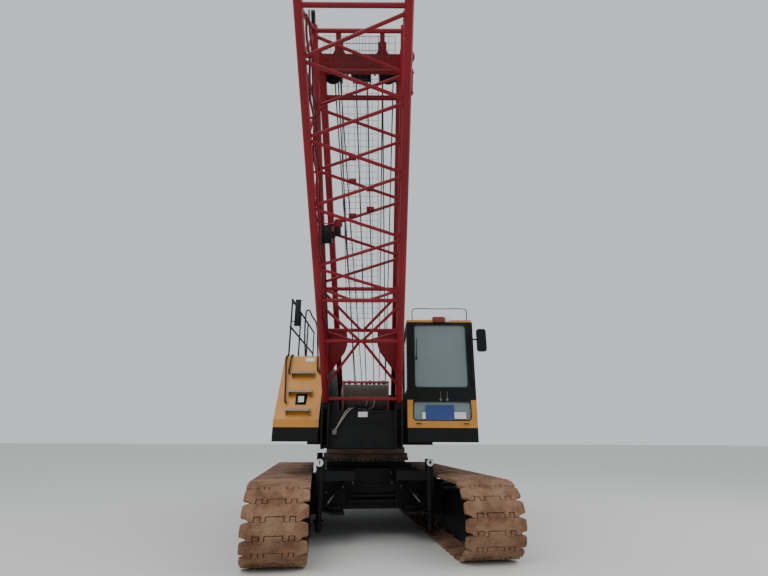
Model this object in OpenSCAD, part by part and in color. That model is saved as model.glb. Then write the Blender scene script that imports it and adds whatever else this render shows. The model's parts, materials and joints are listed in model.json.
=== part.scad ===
// Crawler crane with the butt section of its lattice boom and the live mast behind it.
// Millimetres, +Z up, front towards -Y, cab at +X. The slewing axis is vertical.

/* [Tracks] */
// Distance between the centre lines of the two tracks
track_gauge = 2600; // [2450:10:3000]
// Length of a track over its ends
track_length = 5660; // [5300:10:6200]
// Height of a track
track_height = 933; // [880:1:1000]
// Width of a shoe
shoe_width = 760; // [600:10:900]
// Distance from one shoe to the next
shoe_pitch = 203; // [190:1:240]
// Thickness of a shoe with its link
shoe_thickness = 95; // [80:1:110]
// Gap between two shoes
shoe_gap = 34; // [20:1:50]
// Depth of the gap between two shoes
shoe_groove = 42; // [20:1:60]
// Width of the track frame
side_frame_width = 400; // [340:10:460]
// Thickness of the cheek plates of the track frame
cheek_plate = 30; // [16:1:50]
// Radius of a bottom roller
roller_radius = 85; // [70:1:95]
// Number of bottom rollers of a track
roller_count = 9; // [6:1:10]
// Radius of a top roller
carrier_radius = 60; // [45:1:70]

/* [Carbody] */
// Half width of the carbody's centre box
carbody_half = 700; // [620:10:760]
// Height of the carbody's top plate
carbody_top = 1050; // [1000:5:1060]
// Height of the carbody's bottom plate
carbody_bottom = 430; // [380:5:480]
// Distance of an axle beam from the slewing axis
axle_y = 880; // [800:10:950]
// Width of an axle beam
axle_width = 420; // [340:10:480]
// Radius over the teeth of the slewing ring
ring_radius = 760; // [700:5:800]
// Teeth of the slewing ring
ring_teeth = 60; // [48:1:80]
// Height of the toothed ring
ring_height = 110; // [80:5:130]
// Distance of the jacks from the middle plane
jack_x = 800; // [770:5:840]
// Distance of the jacks from the slewing axis along the crane
jack_y = 1500; // [1440:10:1600]
// Radius of a jack's outer tube
jack_radius = 60; // [50:1:70]
// Radius of a jack's rod
jack_rod = 40; // [25:1:45]
// Height of a jack's foot above the ground
jack_foot_height = 195; // [150:5:240]

/* [Upper] */
// Angle of the upper about the slewing axis
slew_angle = -7.8; // [-12:0.1:12]
// Underside of the revolving frame
frame_bottom = 1290; // [1270:5:1310]
// Top of the revolving frame and of the skirts
deck_z = 1590; // [1560:5:1640]
// Underside of the skirts
skirt_bottom = 1390; // [1360:5:1420]
// Half width of the revolving frame
frame_half = 460; // [430:5:470]
// Rear end of the revolving frame
frame_rear = 3000; // [2900:10:3100]
// Plate thickness of the housings
panel = 30; // [16:1:40]
// Gap round a closed door
door_gap = 8; // [6:1:15]
// Front edge of the housings and of the cab
front_y = -1690; // [-1750:5:-1650]
// Outer side of the stepped housing
left_outer = -1312; // [-1340:2:-1280]
// Inner side of the stepped housing
left_inner = -640; // [-680:2:-620]
// Roof height of the housings
housing_top = 2720; // [2640:5:2780]
// How far the stepped front leans back
front_lean = 500; // [400:10:600]
// Height of the upright foot of the stepped front
front_foot = 110; // [60:5:160]
// Rear end of the housings
housing_rear = 2420; // [2300:10:2500]
// Inner side of the engine housing
right_inner = 760; // [700:5:800]
// Fold along the outer edge of a roof
roof_fold = 70; // [40:5:90]

/* [Cab] */
// Inner side of the cab
cab_inner = 669; // [655:1:690]
// Outer side of the cab
cab_outer = 1701; // [1650:1:1750]
// Rear wall of the cab
cab_rear = -130; // [-200:10:-80]
// Top of the cab roof
cab_top = 3216; // [3150:2:3300]
// Wall thickness of the cab
cab_wall = 40; // [30:1:60]
// Top of the yellow lower front
cab_nose_top = 1988; // [1970:2:2060]
// Thickness of the panes
glass = 6; // [4:1:10]

/* [Boom] */
// Elevation of the boom's axis
boom_elevation = 53.8; // [50:0.1:58]
// Boom foot pin along the crane
boom_foot_y = -1690; // [-1700:1:-1680]
// Boom foot pin above the ground
boom_foot_z = 1900; // [1860:5:1940]
// Width of the boom over its chords
boom_width = 1172; // [1140:2:1190]
// Length of the butt section along its axis
boom_length = 5040; // [4900:10:5200]
// Angle between the front chords and the axis
front_angle = 9.8; // [8:0.1:11]
// Distance of the rear chords behind the foot pin
rear_offset = 175; // [160:5:200]
// Radius of a chord
chord_radius = 48; // [40:1:54]
// Radius of a lacing tube
lacing_radius = 20; // [15:1:25]
// Radius of a frame tube
tube_radius = 26; // [20:1:30]
// Start of the lacing bays along the axis
lacing_start = 1850; // [1800:5:1900]
// Number of lacing bays
lacing_bays = 8; // [6:1:10]
// Radius of the holes in the pin lugs
lug_bore = 30; // [22:0.5:34]
// Width of the walkway on the boom
walkway_width = 450; // [380:10:500]

/* [Mast] */
// Elevation of the mast
mast_elevation = 41.6; // [41:0.1:43.5]
// Mast foot pin along the crane
mast_foot_y = 700; // [650:5:760]
// Mast foot pin above the ground
mast_foot_z = 1810; // [1780:5:1840]
// Length of the mast up to its head plate
mast_length = 6190; // [6000:10:6300]
// Width of the mast over its legs
mast_width = 1090; // [1070:2:1110]
// Depth of a mast leg
mast_leg = 90; // [70:1:110]

/* [Winches] */
// Radius of a hoist drum
drum_radius = 210; // [180:5:230]
// Radius of a drum flange
flange_radius = 330; // [300:5:340]
// Length of a drum between its flanges
drum_length = 760; // [700:5:780]
// Axis height of the hoist drums
drum_z = 2080; // [2050:5:2120]
// Place of the front drum along the crane
front_drum_y = -420; // [-450:5:-400]
// Place of the rear drum along the crane
rear_drum_y = 480; // [440:5:520]
// Place of the luffing drum along the crane
luffing_drum_y = 1500; // [1450:5:1600]

/* [Counterweight] */
// Half width of the counterweight
weight_half = 1500; // [1420:5:1560]
// Front face of the counterweight
weight_front = 2750; // [2700:10:2800]
// Rear face of the counterweight
weight_rear = 3900; // [3800:10:4000]
// Top of the counterweight slabs
weight_top = 2450; // [2300:10:2600]

/* [Hidden] */

// Place of the slewing axis in the crane's own frame, whose origin is
// under the middle of the whole crane
slew_x = -167;
slew_y = 732;

// Clearances: faces of one piece on another, moving pieces, and a pin in its hole
seat_gap = 0.3;
free_gap = 8;
pin_gap = 0.1;

yellow = "#c98a2e";
black = "#1b1d21";
red = "#8e1b26";
rust = "#9a6a4a";
grease = "#5a4632";
steel = "#77777a";

// Loop of a track
end_radius = track_height / 2;
track_run = track_length - track_height;
loop_length = 2 * track_run + 2 * PI * end_radius;
shoe_count = round(loop_length / shoe_pitch);
pitch = loop_length / shoe_count;
inner_radius = end_radius - shoe_thickness;
wheel_radius = inner_radius - seat_gap;
wheel_width = side_frame_width - 2 * cheek_plate - 2 * seat_gap;
roller_z = shoe_thickness + seat_gap + roller_radius;
roller_end = sqrt(pow(wheel_radius + roller_radius + free_gap, 2) - pow(end_radius - roller_z, 2));
roller_pitch = (track_run - 2 * roller_end) / (roller_count - 1);
carrier_z = track_height - shoe_thickness - seat_gap - carrier_radius;

// Boom frame: X across, Y towards the rear chords, Z along the axis
boom_x = boom_width / 2 - chord_radius;
end_bay = 140;
bay = (boom_length - end_bay - lacing_start) / lacing_bays;
foot_tube = 132;
v_end = 350;
tube_1 = 1138;
tube_2 = 1765;
top_tube = boom_length - 60;
plate_start = 450;
boom_plate = 12;
// Shift of the lacing's ends along a chord, so that tubes don't meet on it
end_shift = 12;
lacing_shift = 45;
last_end = 38;

mast_x = mast_width / 2 - mast_leg / 2;

// Counterweight: top of its base slab, inner side of the slabs on it
weight_base_top = deck_z + 120;
weight_gap = 420;

// Point on the track's loop at distance s, moved inwards by d
function loop_point(s, d) =
  let (t = (s + loop_length) % loop_length, r = end_radius - d, half = track_run / 2,
       turn = PI * end_radius)
  t < track_run ? [t - half, -r]
  : t < track_run + turn ? let (a = (t - track_run) / end_radius * 180 / PI - 90)
    [half + r * cos(a), r * sin(a)]
  : t < 2 * track_run + turn ? [half - (t - track_run - turn), r]
  : let (a = (t - 2 * track_run - turn) / end_radius * 180 / PI + 90)
    [-half + r * cos(a), r * sin(a)];

// Front chord of the boom at height s
function front_y_at(s) = -s * tan(front_angle);
function front_at(side, s) = [side * boom_x, front_y_at(s), s];
function rear_at(side, s) = [side * boom_x, rear_offset, s];
function face_at(front, side, s) = front ? front_at(side, s) : rear_at(side, s);

// Outline in the plane of Y and Z, extruded from x0 to x1
module across(x0, x1) {
  translate([x0, 0, 0]) rotate([90, 0, 90]) linear_extrude(x1 - x0) children();
}

// Outline in the plane of X and Z, extruded from y0 to y1
module along(y0, y1) {
  translate([0, y1, 0]) rotate([90, 0, 0]) linear_extrude(y1 - y0) children();
}

// Box between two corners
module box(a, b) {
  translate(a) cube(b - a);
}

// Cylinder between two points
module tube(a, b, r) {
  d = b - a;
  translate(a)
    rotate([0, acos(d[2] / norm(d)), atan2(d[1], d[0])])
      cylinder(h = norm(d), r = r, $fn = 32);
}

// Cylinder along X between x0 and x1
module shaft(x0, x1, y, z, r) {
  translate([x0, y, z]) rotate([0, 90, 0]) cylinder(h = x1 - x0, r = r, $fn = 48);
}

module both_sides() {
  children();
  mirror([1, 0, 0]) children();
}

// Frames: the undercarriage, the upper that slews on it, the boom and the mast
module under() {
  translate([slew_x, slew_y, 0]) children();
}

module upper() {
  translate([slew_x, slew_y, 0]) rotate([0, 0, slew_angle]) children();
}

module on_boom() {
  upper() translate([0, boom_foot_y, boom_foot_z]) rotate([90 - boom_elevation, 0, 0]) children();
}

module on_mast() {
  upper() translate([0, mast_foot_y, mast_foot_z]) rotate([90 - mast_elevation, 0, 0]) children();
}

// Tracks

// Ring of shoes seen from the side, the gaps between them shifted by a share of the pitch
module shoe_ring(shift) {
  difference() {
    polygon([for (i = [0:shoe_count - 1], k = [0:2])
      loop_point((i + shift) * pitch + [0, shoe_gap / 2, pitch - shoe_gap / 2][k],
                 k == 0 ? shoe_groove : 0)]);
    square([track_run, 2 * inner_radius], center = true);
    for (end = [-1, 1])
      translate([end * track_run / 2, 0]) circle(r = inner_radius, $fn = 64);
  }
}

// Bands across a shoe: from, to, shift of the gaps
shoe_bands = [
  [-0.50, -0.20, 0],
  [-0.20, 0.20, 0.5],
  [0.20, 0.50, 0]
];

module track(side) {
  color(rust) under()
    translate([side * track_gauge / 2, 0, end_radius])
      for (band = shoe_bands)
        across(band[0] * shoe_width, band[1] * shoe_width) shoe_ring(band[2]);
}

module side_frame(side) {
  half = track_run / 2;
  bottom = roller_z - 20;
  color(black) under() translate([side * track_gauge / 2, 0, 0]) {
    for (x = [-side_frame_width / 2, side_frame_width / 2 - cheek_plate])
      across(x, x + cheek_plate) {
        polygon([[-half + 100, bottom], [half - 100, bottom], [half, 300], [half, 620],
                 [half - 500, 700], [-half + 500, 700], [-half, 620], [-half, 300]]);
        for (end = [-1, 1]) translate([end * half, end_radius]) circle(r = 190, $fn = 48);
        for (end = [-1, 1])
          translate([end * 900 - 90, 600]) square([180, carrier_z + 40 - 600]);
      }
    box([-side_frame_width / 2, -half + 480, roller_z + roller_radius + 20],
        [side_frame_width / 2, half - 480, 700]);
  }
}

module wheel_pair(y, z, r) {
  for (side = [-1, 1])
    shaft(side * track_gauge / 2 - wheel_width / 2, side * track_gauge / 2 + wheel_width / 2, y, z, r);
}

module end_wheels() {
  color(steel) under() for (end = [-1, 1]) wheel_pair(end * track_run / 2, end_radius, wheel_radius);
}

module track_rollers() {
  color(steel) under() {
    for (i = [0:roller_count - 1])
      wheel_pair((i - (roller_count - 1) / 2) * roller_pitch, roller_z, roller_radius);
    for (end = [-1, 1]) wheel_pair(end * 900, carrier_z, carrier_radius);
  }
}

// Carbody

frame_inner = track_gauge / 2 - side_frame_width / 2;
// Clearance of the axle beams under the upper run of the shoes and beside it
track_clearance = 40;
axle_end_top = track_height - shoe_thickness - track_clearance;
axle_shoulder = track_gauge / 2 - shoe_width / 2 - track_clearance;

module carbody() {
  color(black) under() {
    box([-carbody_half, -axle_y + axle_width / 2, carbody_bottom],
        [carbody_half, axle_y - axle_width / 2, carbody_top]);
    translate([0, 0, carbody_top]) cylinder(h = 30, r = ring_radius - 60, $fn = 96);
  }
}

module axle_beams() {
  color(black) under() {
    for (end = [-1, 1]) {
      along(end * axle_y - axle_width / 2 + (end > 0 ? seat_gap : 0),
            end * axle_y + axle_width / 2 - (end < 0 ? seat_gap : 0))
        polygon([[-frame_inner + seat_gap, 330], [-500, 430], [500, 430], [frame_inner - seat_gap, 330],
                 [frame_inner - seat_gap, axle_end_top], [axle_shoulder, axle_end_top],
                 [carbody_half, 1000], [-carbody_half, 1000], [-axle_shoulder, axle_end_top],
                 [-frame_inner + seat_gap, axle_end_top]]);
      for (z = [620, 545])
        shaft(-365, 365, end * (axle_y + axle_width / 2 + 60), z, 28);
      for (x = [-365, 345])
        box([x, end > 0 ? axle_y + axle_width / 2 - 5 : -axle_y - axle_width / 2 - 110, 480],
            [x + 20, end > 0 ? axle_y + axle_width / 2 + 110 : -axle_y - axle_width / 2 + 5, 690]);
      // Arms out to the jacks
      difference() {
        for (side = [-1, 1]) {
          along(end * jack_y - 45, end * jack_y + 45)
            polygon([[side * 300, 860], [side * jack_x, 860], [side * jack_x, 990], [side * 300, 990]]);
          box([side > 0 ? 300 : -440, end > 0 ? axle_y + axle_width / 2 - 5 : -jack_y - 45, 860],
              [side > 0 ? 440 : -300, end > 0 ? jack_y + 45 : -axle_y - axle_width / 2 + 5, 990]);
        }
        for (side = [-1, 1])
          translate([side * jack_x, end * jack_y, 800])
            cylinder(h = 300, r = jack_radius + jack_collar + seat_gap, $fn = 48);
      }
    }
  }
}

// Height of the toothed part of the ring
ring_teeth_height = 45;

module slew_ring() {
  tooth = 360 / ring_teeth;
  color(grease) under() translate([0, 0, carbody_top + 30]) {
    // Smooth band above the teeth
    translate([0, 0, ring_teeth_height - 1]) linear_extrude(ring_height - ring_teeth_height + 1)
      difference() {
        circle(r = ring_radius - 14, $fn = 96);
        circle(r = 520, $fn = 96);
      }
    linear_extrude(ring_teeth_height)
      difference() {
        polygon([for (i = [0:ring_teeth - 1], k = [0:3])
          let (r = k == 1 || k == 2 ? ring_radius : ring_radius - 26,
               a = (i + [0.08, 0.3, 0.7, 0.92][k]) * tooth)
          [r * cos(a), r * sin(a)]]);
        circle(r = 520, $fn = 96);
      }
  }
}

jack_top = 1150;
jack_collar = 8;
jack_ball = 42;

module jack_tubes() {
  color(black) under()
    for (x = [-jack_x, jack_x], y = [-jack_y, jack_y])
      translate([x, y, 480]) difference() {
        union() {
          cylinder(h = jack_top - 480, r = jack_radius, $fn = 48);
          translate([0, 0, 370]) cylinder(h = 150, r = jack_radius + jack_collar, $fn = 48);
        }
        translate([0, 0, -1]) cylinder(h = jack_top - 520, r = jack_rod + 1, $fn = 48);
      }
}

module jack(x, y) {
  color(black) under() translate([x, y, 0]) {
    translate([0, 0, jack_foot_height + 60]) cylinder(h = 780, r = jack_rod, $fn = 48);
    translate([0, 0, jack_foot_height + 130]) cylinder(h = 26, r = jack_radius + 12, $fn = 48);
    translate([0, 0, jack_foot_height + jack_ball]) sphere(r = jack_ball, $fn = 48);
  }
}

// Revolving frame

// Upper race, close on the toothed ring along a narrow track only
module ring_cover() {
  ring_top = carbody_top + 30 + ring_height;
  color(black) upper() {
    translate([0, 0, ring_top + free_gap])
      cylinder(h = frame_bottom - ring_top - free_gap - seat_gap, r = ring_radius - 60, $fn = 96);
    translate([0, 0, ring_top + seat_gap]) difference() {
      cylinder(h = free_gap + 5, r = 640, $fn = 96);
      translate([0, 0, -1]) cylinder(h = free_gap + 10, r = 580, $fn = 96);
    }
  }
}

// Seats of the mast foot beside the revolving frame
mast_seat = 210;

module main_frame() {
  color(black) upper() {
    difference() {
      box([-frame_half, front_y + front_gap, frame_bottom], [frame_half, frame_rear, deck_z]);
      // Clears the clevises of the boom foot, however wide the frame is
      both_sides()
        box([bracket_inner - bracket_plate - seat_gap, front_y, frame_bottom - 10],
            [bracket_outer + bracket_plate, front_y + bracket_length + seat_gap, deck_z + 10]);
    }
    box([-mast_bracket_outer - bracket_plate, mast_foot_y - mast_seat, deck_z - 260],
        [mast_bracket_outer + bracket_plate, mast_foot_y + mast_seat, deck_z]);
    // Outriggers that carry the skirts
    for (y = [-600, 200, 1800])
      box([left_inner + seat_gap, y, skirt_bottom + 10], [cab_inner - seat_gap, y + 180, deck_z - 40]);
  }
}

bracket_plate = 26;
lug_width = 50;
bracket_inner = boom_x - lug_width / 2 - free_gap;
bracket_outer = boom_x + lug_width / 2 + free_gap;
foot_pin = 42;
mast_lug = 60;
front_gap = 90;
bracket_length = 300;
mast_bracket_inner = mast_x - mast_lug / 2 - free_gap;
mast_bracket_outer = mast_x + mast_lug / 2 + free_gap;

module foot_brackets() {
  color(black) upper() both_sides() {
    // Clevis of the boom foot with its pin
    for (x = [bracket_inner - bracket_plate, bracket_outer])
      across(x, x + bracket_plate) {
        polygon([[front_y - 20, frame_bottom], [front_y + bracket_length, frame_bottom],
                 [front_y + bracket_length, deck_z + 60], [boom_foot_y + 90, boom_foot_z],
                 [boom_foot_y - 90, boom_foot_z], [front_y - 90, deck_z]]);
        translate([boom_foot_y, boom_foot_z]) circle(r = 90, $fn = 48);
      }
    shaft(bracket_inner - 5, bracket_outer + 5, boom_foot_y, boom_foot_z, foot_pin);
    box([frame_half + seat_gap, front_y + 100, frame_bottom + 10],
        [bracket_outer + 5, front_y + 280, frame_bottom + 60]);
    // Clevis of the mast foot with its pin
    for (x = [mast_bracket_inner - bracket_plate, mast_bracket_outer])
      across(x, x + bracket_plate) {
        polygon([[mast_foot_y - 200, deck_z + seat_gap], [mast_foot_y + 200, deck_z + seat_gap],
                 [mast_foot_y + 75, mast_foot_z], [mast_foot_y - 75, mast_foot_z]]);
        translate([mast_foot_y, mast_foot_z]) circle(r = 75, $fn = 48);
      }
    shaft(mast_bracket_inner - 5, mast_bracket_outer + 5, mast_foot_y, mast_foot_z, foot_pin);
    box([mast_bracket_inner - bracket_plate, mast_foot_y - 200, deck_z + seat_gap],
        [mast_bracket_outer + bracket_plate, mast_foot_y + 200, deck_z + 24]);
  }
}

front_plate_top = deck_z + 248;

module front_plate() {
  half = bracket_inner - bracket_plate - seat_gap;
  bottom = frame_bottom + 20;
  color(black) upper() {
    // Plate with a raised border and cross bar
    along(front_y + 20, front_y + 50) translate([-half, bottom]) square([2 * half, front_plate_top - bottom]);
    along(front_y + 8, front_y + 21) difference() {
      translate([-half, bottom]) square([2 * half, front_plate_top - bottom]);
      rounded(-half + 45, half - 45, bottom + 45, deck_z + 60, 40);
      translate([-half + 45, deck_z + 90]) square([2 * half - 90, 120]);
    }
    box([-half, front_y + 49, bottom], [half, front_y + front_gap - seat_gap, deck_z - 60]);
    // Guide sheave above the plate
    for (x = [-120, 100]) box([x, front_y + 20, front_plate_top - 1], [x + 16, front_y + 90, front_plate_top + 70]);
    shaft(-104, 84, front_y + 60, front_plate_top + 50, 18);
    for (x = [-95, -20, 55]) shaft(x, x + 20, front_y + 60, front_plate_top + 50, 42);
  }
}

// Closed skirt under a housing, x0 to x1
module skirt(x0, x1, y0, y1) {
  color(black) upper() box([x0, y0, skirt_bottom], [x1, y1, deck_z - seat_gap]);
}

// Stepped housing

left_side_x = left_outer + panel;
left_inner_x = left_inner - panel;
wall_top = housing_top - panel;
crease_z = deck_z + front_foot;
lean_angle = atan(front_lean / (housing_top - crease_z));

// Front face of the stepped housing at height z
function step_face(z) = front_y + max(0, z - crease_z) * tan(lean_angle);

// Outline of the stepped housing behind its front, in Y and Z
module left_outline(inset) {
  polygon([[front_y + inset, deck_z], [housing_rear, deck_z], [housing_rear, wall_top - seat_gap],
           [step_face(wall_top) + inset, wall_top - seat_gap], [front_y + inset, crease_z]]);
}

module left_front() {
  color(yellow) upper() difference() {
    across(left_outer, left_inner)
      polygon([[front_y, deck_z], [front_y + panel, deck_z], [front_y + panel, crease_z],
               [front_y + front_lean + panel, housing_top], [front_y + front_lean, housing_top],
               [front_y, crease_z]]);
    // Bevel along the outer edge, and the hole of the lamp
    translate([left_outer, front_y, crease_z]) rotate([-lean_angle, 0, 0]) translate([0, 0, 20]) bevel(1200);
    box([lamp_x - lamp_half, front_y - 10, lamp_z - lamp_half],
        [lamp_x + lamp_half, front_y + front_lean, lamp_z + lamp_half]);
  }
}

// Square bar on its edge, which takes the corner off a panel
module bevel(length) {
  side = 0.9 * panel;
  rotate([0, 0, 45]) translate([-side / 2, -side / 2, 0]) cube([side, side, length]);
}

// Lamp in the stepped front
lamp_x = -940;
lamp_z = 2000;
lamp_half = 85;

// Side doors of the stepped housing: from, to, lower edge, upper edge
left_doors = [[-460, 300, 1640, 2560], [380, 1110, 1640, 2560]];
engine_doors = [[900, 1700, 1640, 2560]];

module door_hole(door) {
  translate([door[0], door[2]]) square([door[1] - door[0], door[3] - door[2]]);
}

module left_side() {
  color(yellow) upper() {
    across(left_outer, left_side_x) difference() {
      left_outline(panel + seat_gap);
      for (door = left_doors) door_hole(door);
    }
    for (door = left_doors) hinges(-1, left_outer, door[1], door[2], door[3], true);
  }
}

module left_inner_wall() {
  color(black) upper() {
    across(left_inner_x, left_inner) left_outline(panel + seat_gap);
    box([left_side_x + seat_gap, housing_rear - panel, deck_z],
        [left_inner_x + 1, housing_rear, wall_top - seat_gap]);
  }
}

module left_roof() {
  color(yellow) upper() along(front_y + front_lean + panel + seat_gap, housing_rear)
    polygon([[left_outer, wall_top], [left_inner, wall_top], [left_inner, housing_top],
             [left_outer + roof_fold, housing_top]]);
}

// Hinges at the rear edge of a door: the wall's knuckles carry the door's
hinge_radius = 12;
knuckle = 60;

module hinges(side, x, y, z0, z1, on_wall) {
  for (z = [z0 + 100, z1 - 100 - 2 * knuckle])
    translate([x + side * hinge_radius, y - door_gap / 2, z + (on_wall ? 0 : knuckle)]) {
      cylinder(h = knuckle - (on_wall ? seat_gap : 0), r = hinge_radius, $fn = 32);
      translate([side > 0 ? -hinge_radius : -hinge_radius + 8, on_wall ? 0 : -50, 0])
        cube([2 * hinge_radius - 8, 50, knuckle - (on_wall ? seat_gap : 0)]);
    }
}

// Door panel in a side wall, hinged at its rear edge
module side_door(door, side, x) {
  x0 = side > 0 ? x - panel : x;
  color(yellow) upper() {
    across(x0, x0 + panel) translate([door[0] + door_gap, door[2] + door_gap])
      square([door[1] - door[0] - 2 * door_gap, door[3] - door[2] - 2 * door_gap]);
    hinges(side, x, door[1], door[2], door[3], false);
  }
}

step_z = [1850, 2133, 2435];
step_depth = 120;
step_plate = 8;
step_outer = -1136;
step_inner = -781;

module left_steps() {
  color("#8c8478") upper() for (z = step_z) {
    across(step_outer, step_inner)
      polygon([[step_face(z - step_plate) - seat_gap, z - step_plate], [step_face(z - step_plate) - seat_gap, z],
               [step_face(z) - step_depth, z], [step_face(z) - step_depth, z - 30],
               [step_face(z) - step_depth + step_plate, z - 30],
               [step_face(z) - step_depth + step_plate, z - step_plate]]);
    for (x = [step_outer, step_inner - step_plate])
      across(x, x + step_plate)
        polygon([[step_face(z - 100) - seat_gap, z - 100], [step_face(z - step_plate) - seat_gap, z - step_plate],
                 [step_face(z - step_plate) - seat_gap, z], [step_face(z) - step_depth, z],
                 [step_face(z) - step_depth, z - 30]]);
  }
}

rail_top = housing_top + 980;
rail_foot = -1150;

// Railing along the outer edge of the roof, and a folded one at its inner edge
// Radius of a railing's posts and bars, and how far its bars pass the last post
rail_post = 14;
rail_bar = 17;
rail_end = 25;

module left_rails() {
  color(black) upper() {
    x = left_outer + 50;
    for (y = [rail_foot, -300, 550, 1400]) {
      tube([x, y, housing_top + seat_gap], [x, y, rail_top], rail_post);
      translate([x, y, housing_top + seat_gap]) cylinder(h = 8, r = 45, $fn = 32);
    }
    for (z = [rail_top, housing_top + 500])
      tube([x, rail_foot - rail_end, z], [x, 1400 + rail_end, z], rail_bar);
    inner = left_inner - 50;
    for (y = [rail_foot + 200, -400])
      tube([inner, y, housing_top + seat_gap], [inner, y, housing_top + 560], rail_post);
    tube([inner, rail_foot + 200 - rail_end, housing_top + 560],
         [inner, -400 + rail_end, housing_top + 560], rail_bar);
  }
}

module fuel_tank() {
  color(black) upper()
    box([left_side_x + 60, 1250, deck_z + seat_gap], [left_inner_x - 60, housing_rear - 120, 2450]);
}

// Engine housing

engine_front = cab_rear + 60;

module engine_outline() {
  translate([engine_front, deck_z]) square([housing_rear - engine_front, wall_top - seat_gap - deck_z]);
}

module engine_side() {
  color(yellow) upper() {
    across(cab_outer - panel, cab_outer) difference() {
      engine_outline();
      for (door = engine_doors) door_hole(door);
      // Air slots behind the door
      for (i = [0:9]) translate([1850, 1760 + i * 80]) square([420, 40]);
    }
    for (door = engine_doors) hinges(1, cab_outer, door[1], door[2], door[3], true);
  }
}

module engine_wall() {
  color(yellow) upper() {
    across(right_inner, right_inner + panel) engine_outline();
    for (y = [engine_front, housing_rear - panel])
      box([right_inner + panel - 1, y, deck_z], [cab_outer - panel - seat_gap, y + panel, wall_top - seat_gap]);
  }
}

module engine_roof() {
  color(yellow) upper() along(engine_front, housing_rear)
    polygon([[right_inner, wall_top], [cab_outer, wall_top], [cab_outer - roof_fold, housing_top],
             [right_inner, housing_top]]);
}

module engine() {
  color(steel) upper()
    box([right_inner + panel + 60, 350, deck_z + seat_gap], [cab_outer - panel - 80, 1750, 2400]);
}

// Winches

module winch_frames() {
  half = drum_length / 2 + 24 + free_gap;
  color(black) upper() both_sides() {
    for (drum = [[front_drum_y, 300], [rear_drum_y, 300], [luffing_drum_y, 260]])
      across(half, half + 16) {
        polygon([[drum[0] - drum[1], deck_z + seat_gap], [drum[0] + drum[1], deck_z + seat_gap],
                 [drum[0] + 130, drum_z + 60], [drum[0] - 130, drum_z + 60]]);
      }
  }
}

// Drum with its flanges on a shaft between the winch frames
module drum(y) {
  half = drum_length / 2;
  color(steel) upper() {
    shaft(-half, half, y, drum_z, drum_radius);
    for (x = [-half - 24, half]) shaft(x, x + 24, y, drum_z, flange_radius);
    shaft(-half - 24 - free_gap + 0.5, half + 24 + free_gap - 0.5, y, drum_z, 50);
  }
}

module rear_bail() {
  color(black) upper() {
    for (x = [-330, 290])
      across(x, x + 40)
        polygon([[2150, deck_z + seat_gap], [2650, deck_z + seat_gap], [2620, 2660], [2500, 2660]]);
    shaft(-400, 400, 2560, 2600, 45);
    for (x = [-240, -120, 60, 180]) shaft(x, x + 60, 2560, 2600, 150);
  }
}

// Counterweight

module weight_outline(inset) {
  intersection() {
    translate([-weight_half + inset, weight_front + inset])
      square([2 * (weight_half - inset), weight_rear - weight_front - 2 * inset]);
    circle(r = norm([weight_half, weight_rear]) - 120 - inset, $fn = 360);
  }
}

module weight_base() {
  color(black) upper() translate([0, 0, frame_bottom])
    linear_extrude(weight_base_top - frame_bottom) difference() {
      weight_outline(0);
      translate([-frame_half - seat_gap, 0]) square([2 * (frame_half + seat_gap), frame_rear + seat_gap]);
    }
}

// Three slabs on each side with a recess between them
module weight_slabs() {
  bottom = weight_base_top + seat_gap;
  pitch_z = (weight_top - bottom) / 3;
  color(black) upper() for (side = [-1, 1]) {
    inner = side > 0 ? weight_gap : -weight_half;
    translate([0, 0, bottom]) linear_extrude(weight_top - bottom) intersection() {
      weight_outline(15);
      translate([inner + 15, 0]) square([weight_half - weight_gap - 30, weight_rear]);
    }
    for (i = [0:2])
      translate([0, 0, bottom + i * pitch_z + (i > 0 ? 8 : 0)]) linear_extrude(pitch_z - 8) intersection() {
        weight_outline(0);
        translate([inner, 0]) square([weight_half - weight_gap, weight_rear]);
      }
  }
}

// Cab

module cab_floor() {
  color(black) upper()
    box([cab_inner, front_y + cab_wall + seat_gap, deck_z], [cab_outer, cab_rear, cab_low - seat_gap]);
}

cab_low = deck_z + 60;
roof_lip = 36;
cab_high = cab_top - roof_lip;
nose_arm = 85;

// Window openings of the cab's front: inner edge, outer edge, lower edge, upper edge
screen = [cab_inner + 115, cab_outer - 110, 2170, 3136];
lower_screen = [cab_inner + nose_arm, cab_outer - nose_arm, 1693, 1958];

module rounded(x0, x1, y0, y1, r) {
  translate([x0 + r, y0]) square([x1 - x0 - 2 * r, y1 - y0]);
  translate([x0, y0 + r]) square([x1 - x0, y1 - y0 - 2 * r]);
  for (x = [x0 + r, x1 - r], y = [y0 + r, y1 - r]) translate([x, y]) circle(r = r, $fn = 48);
}

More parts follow.
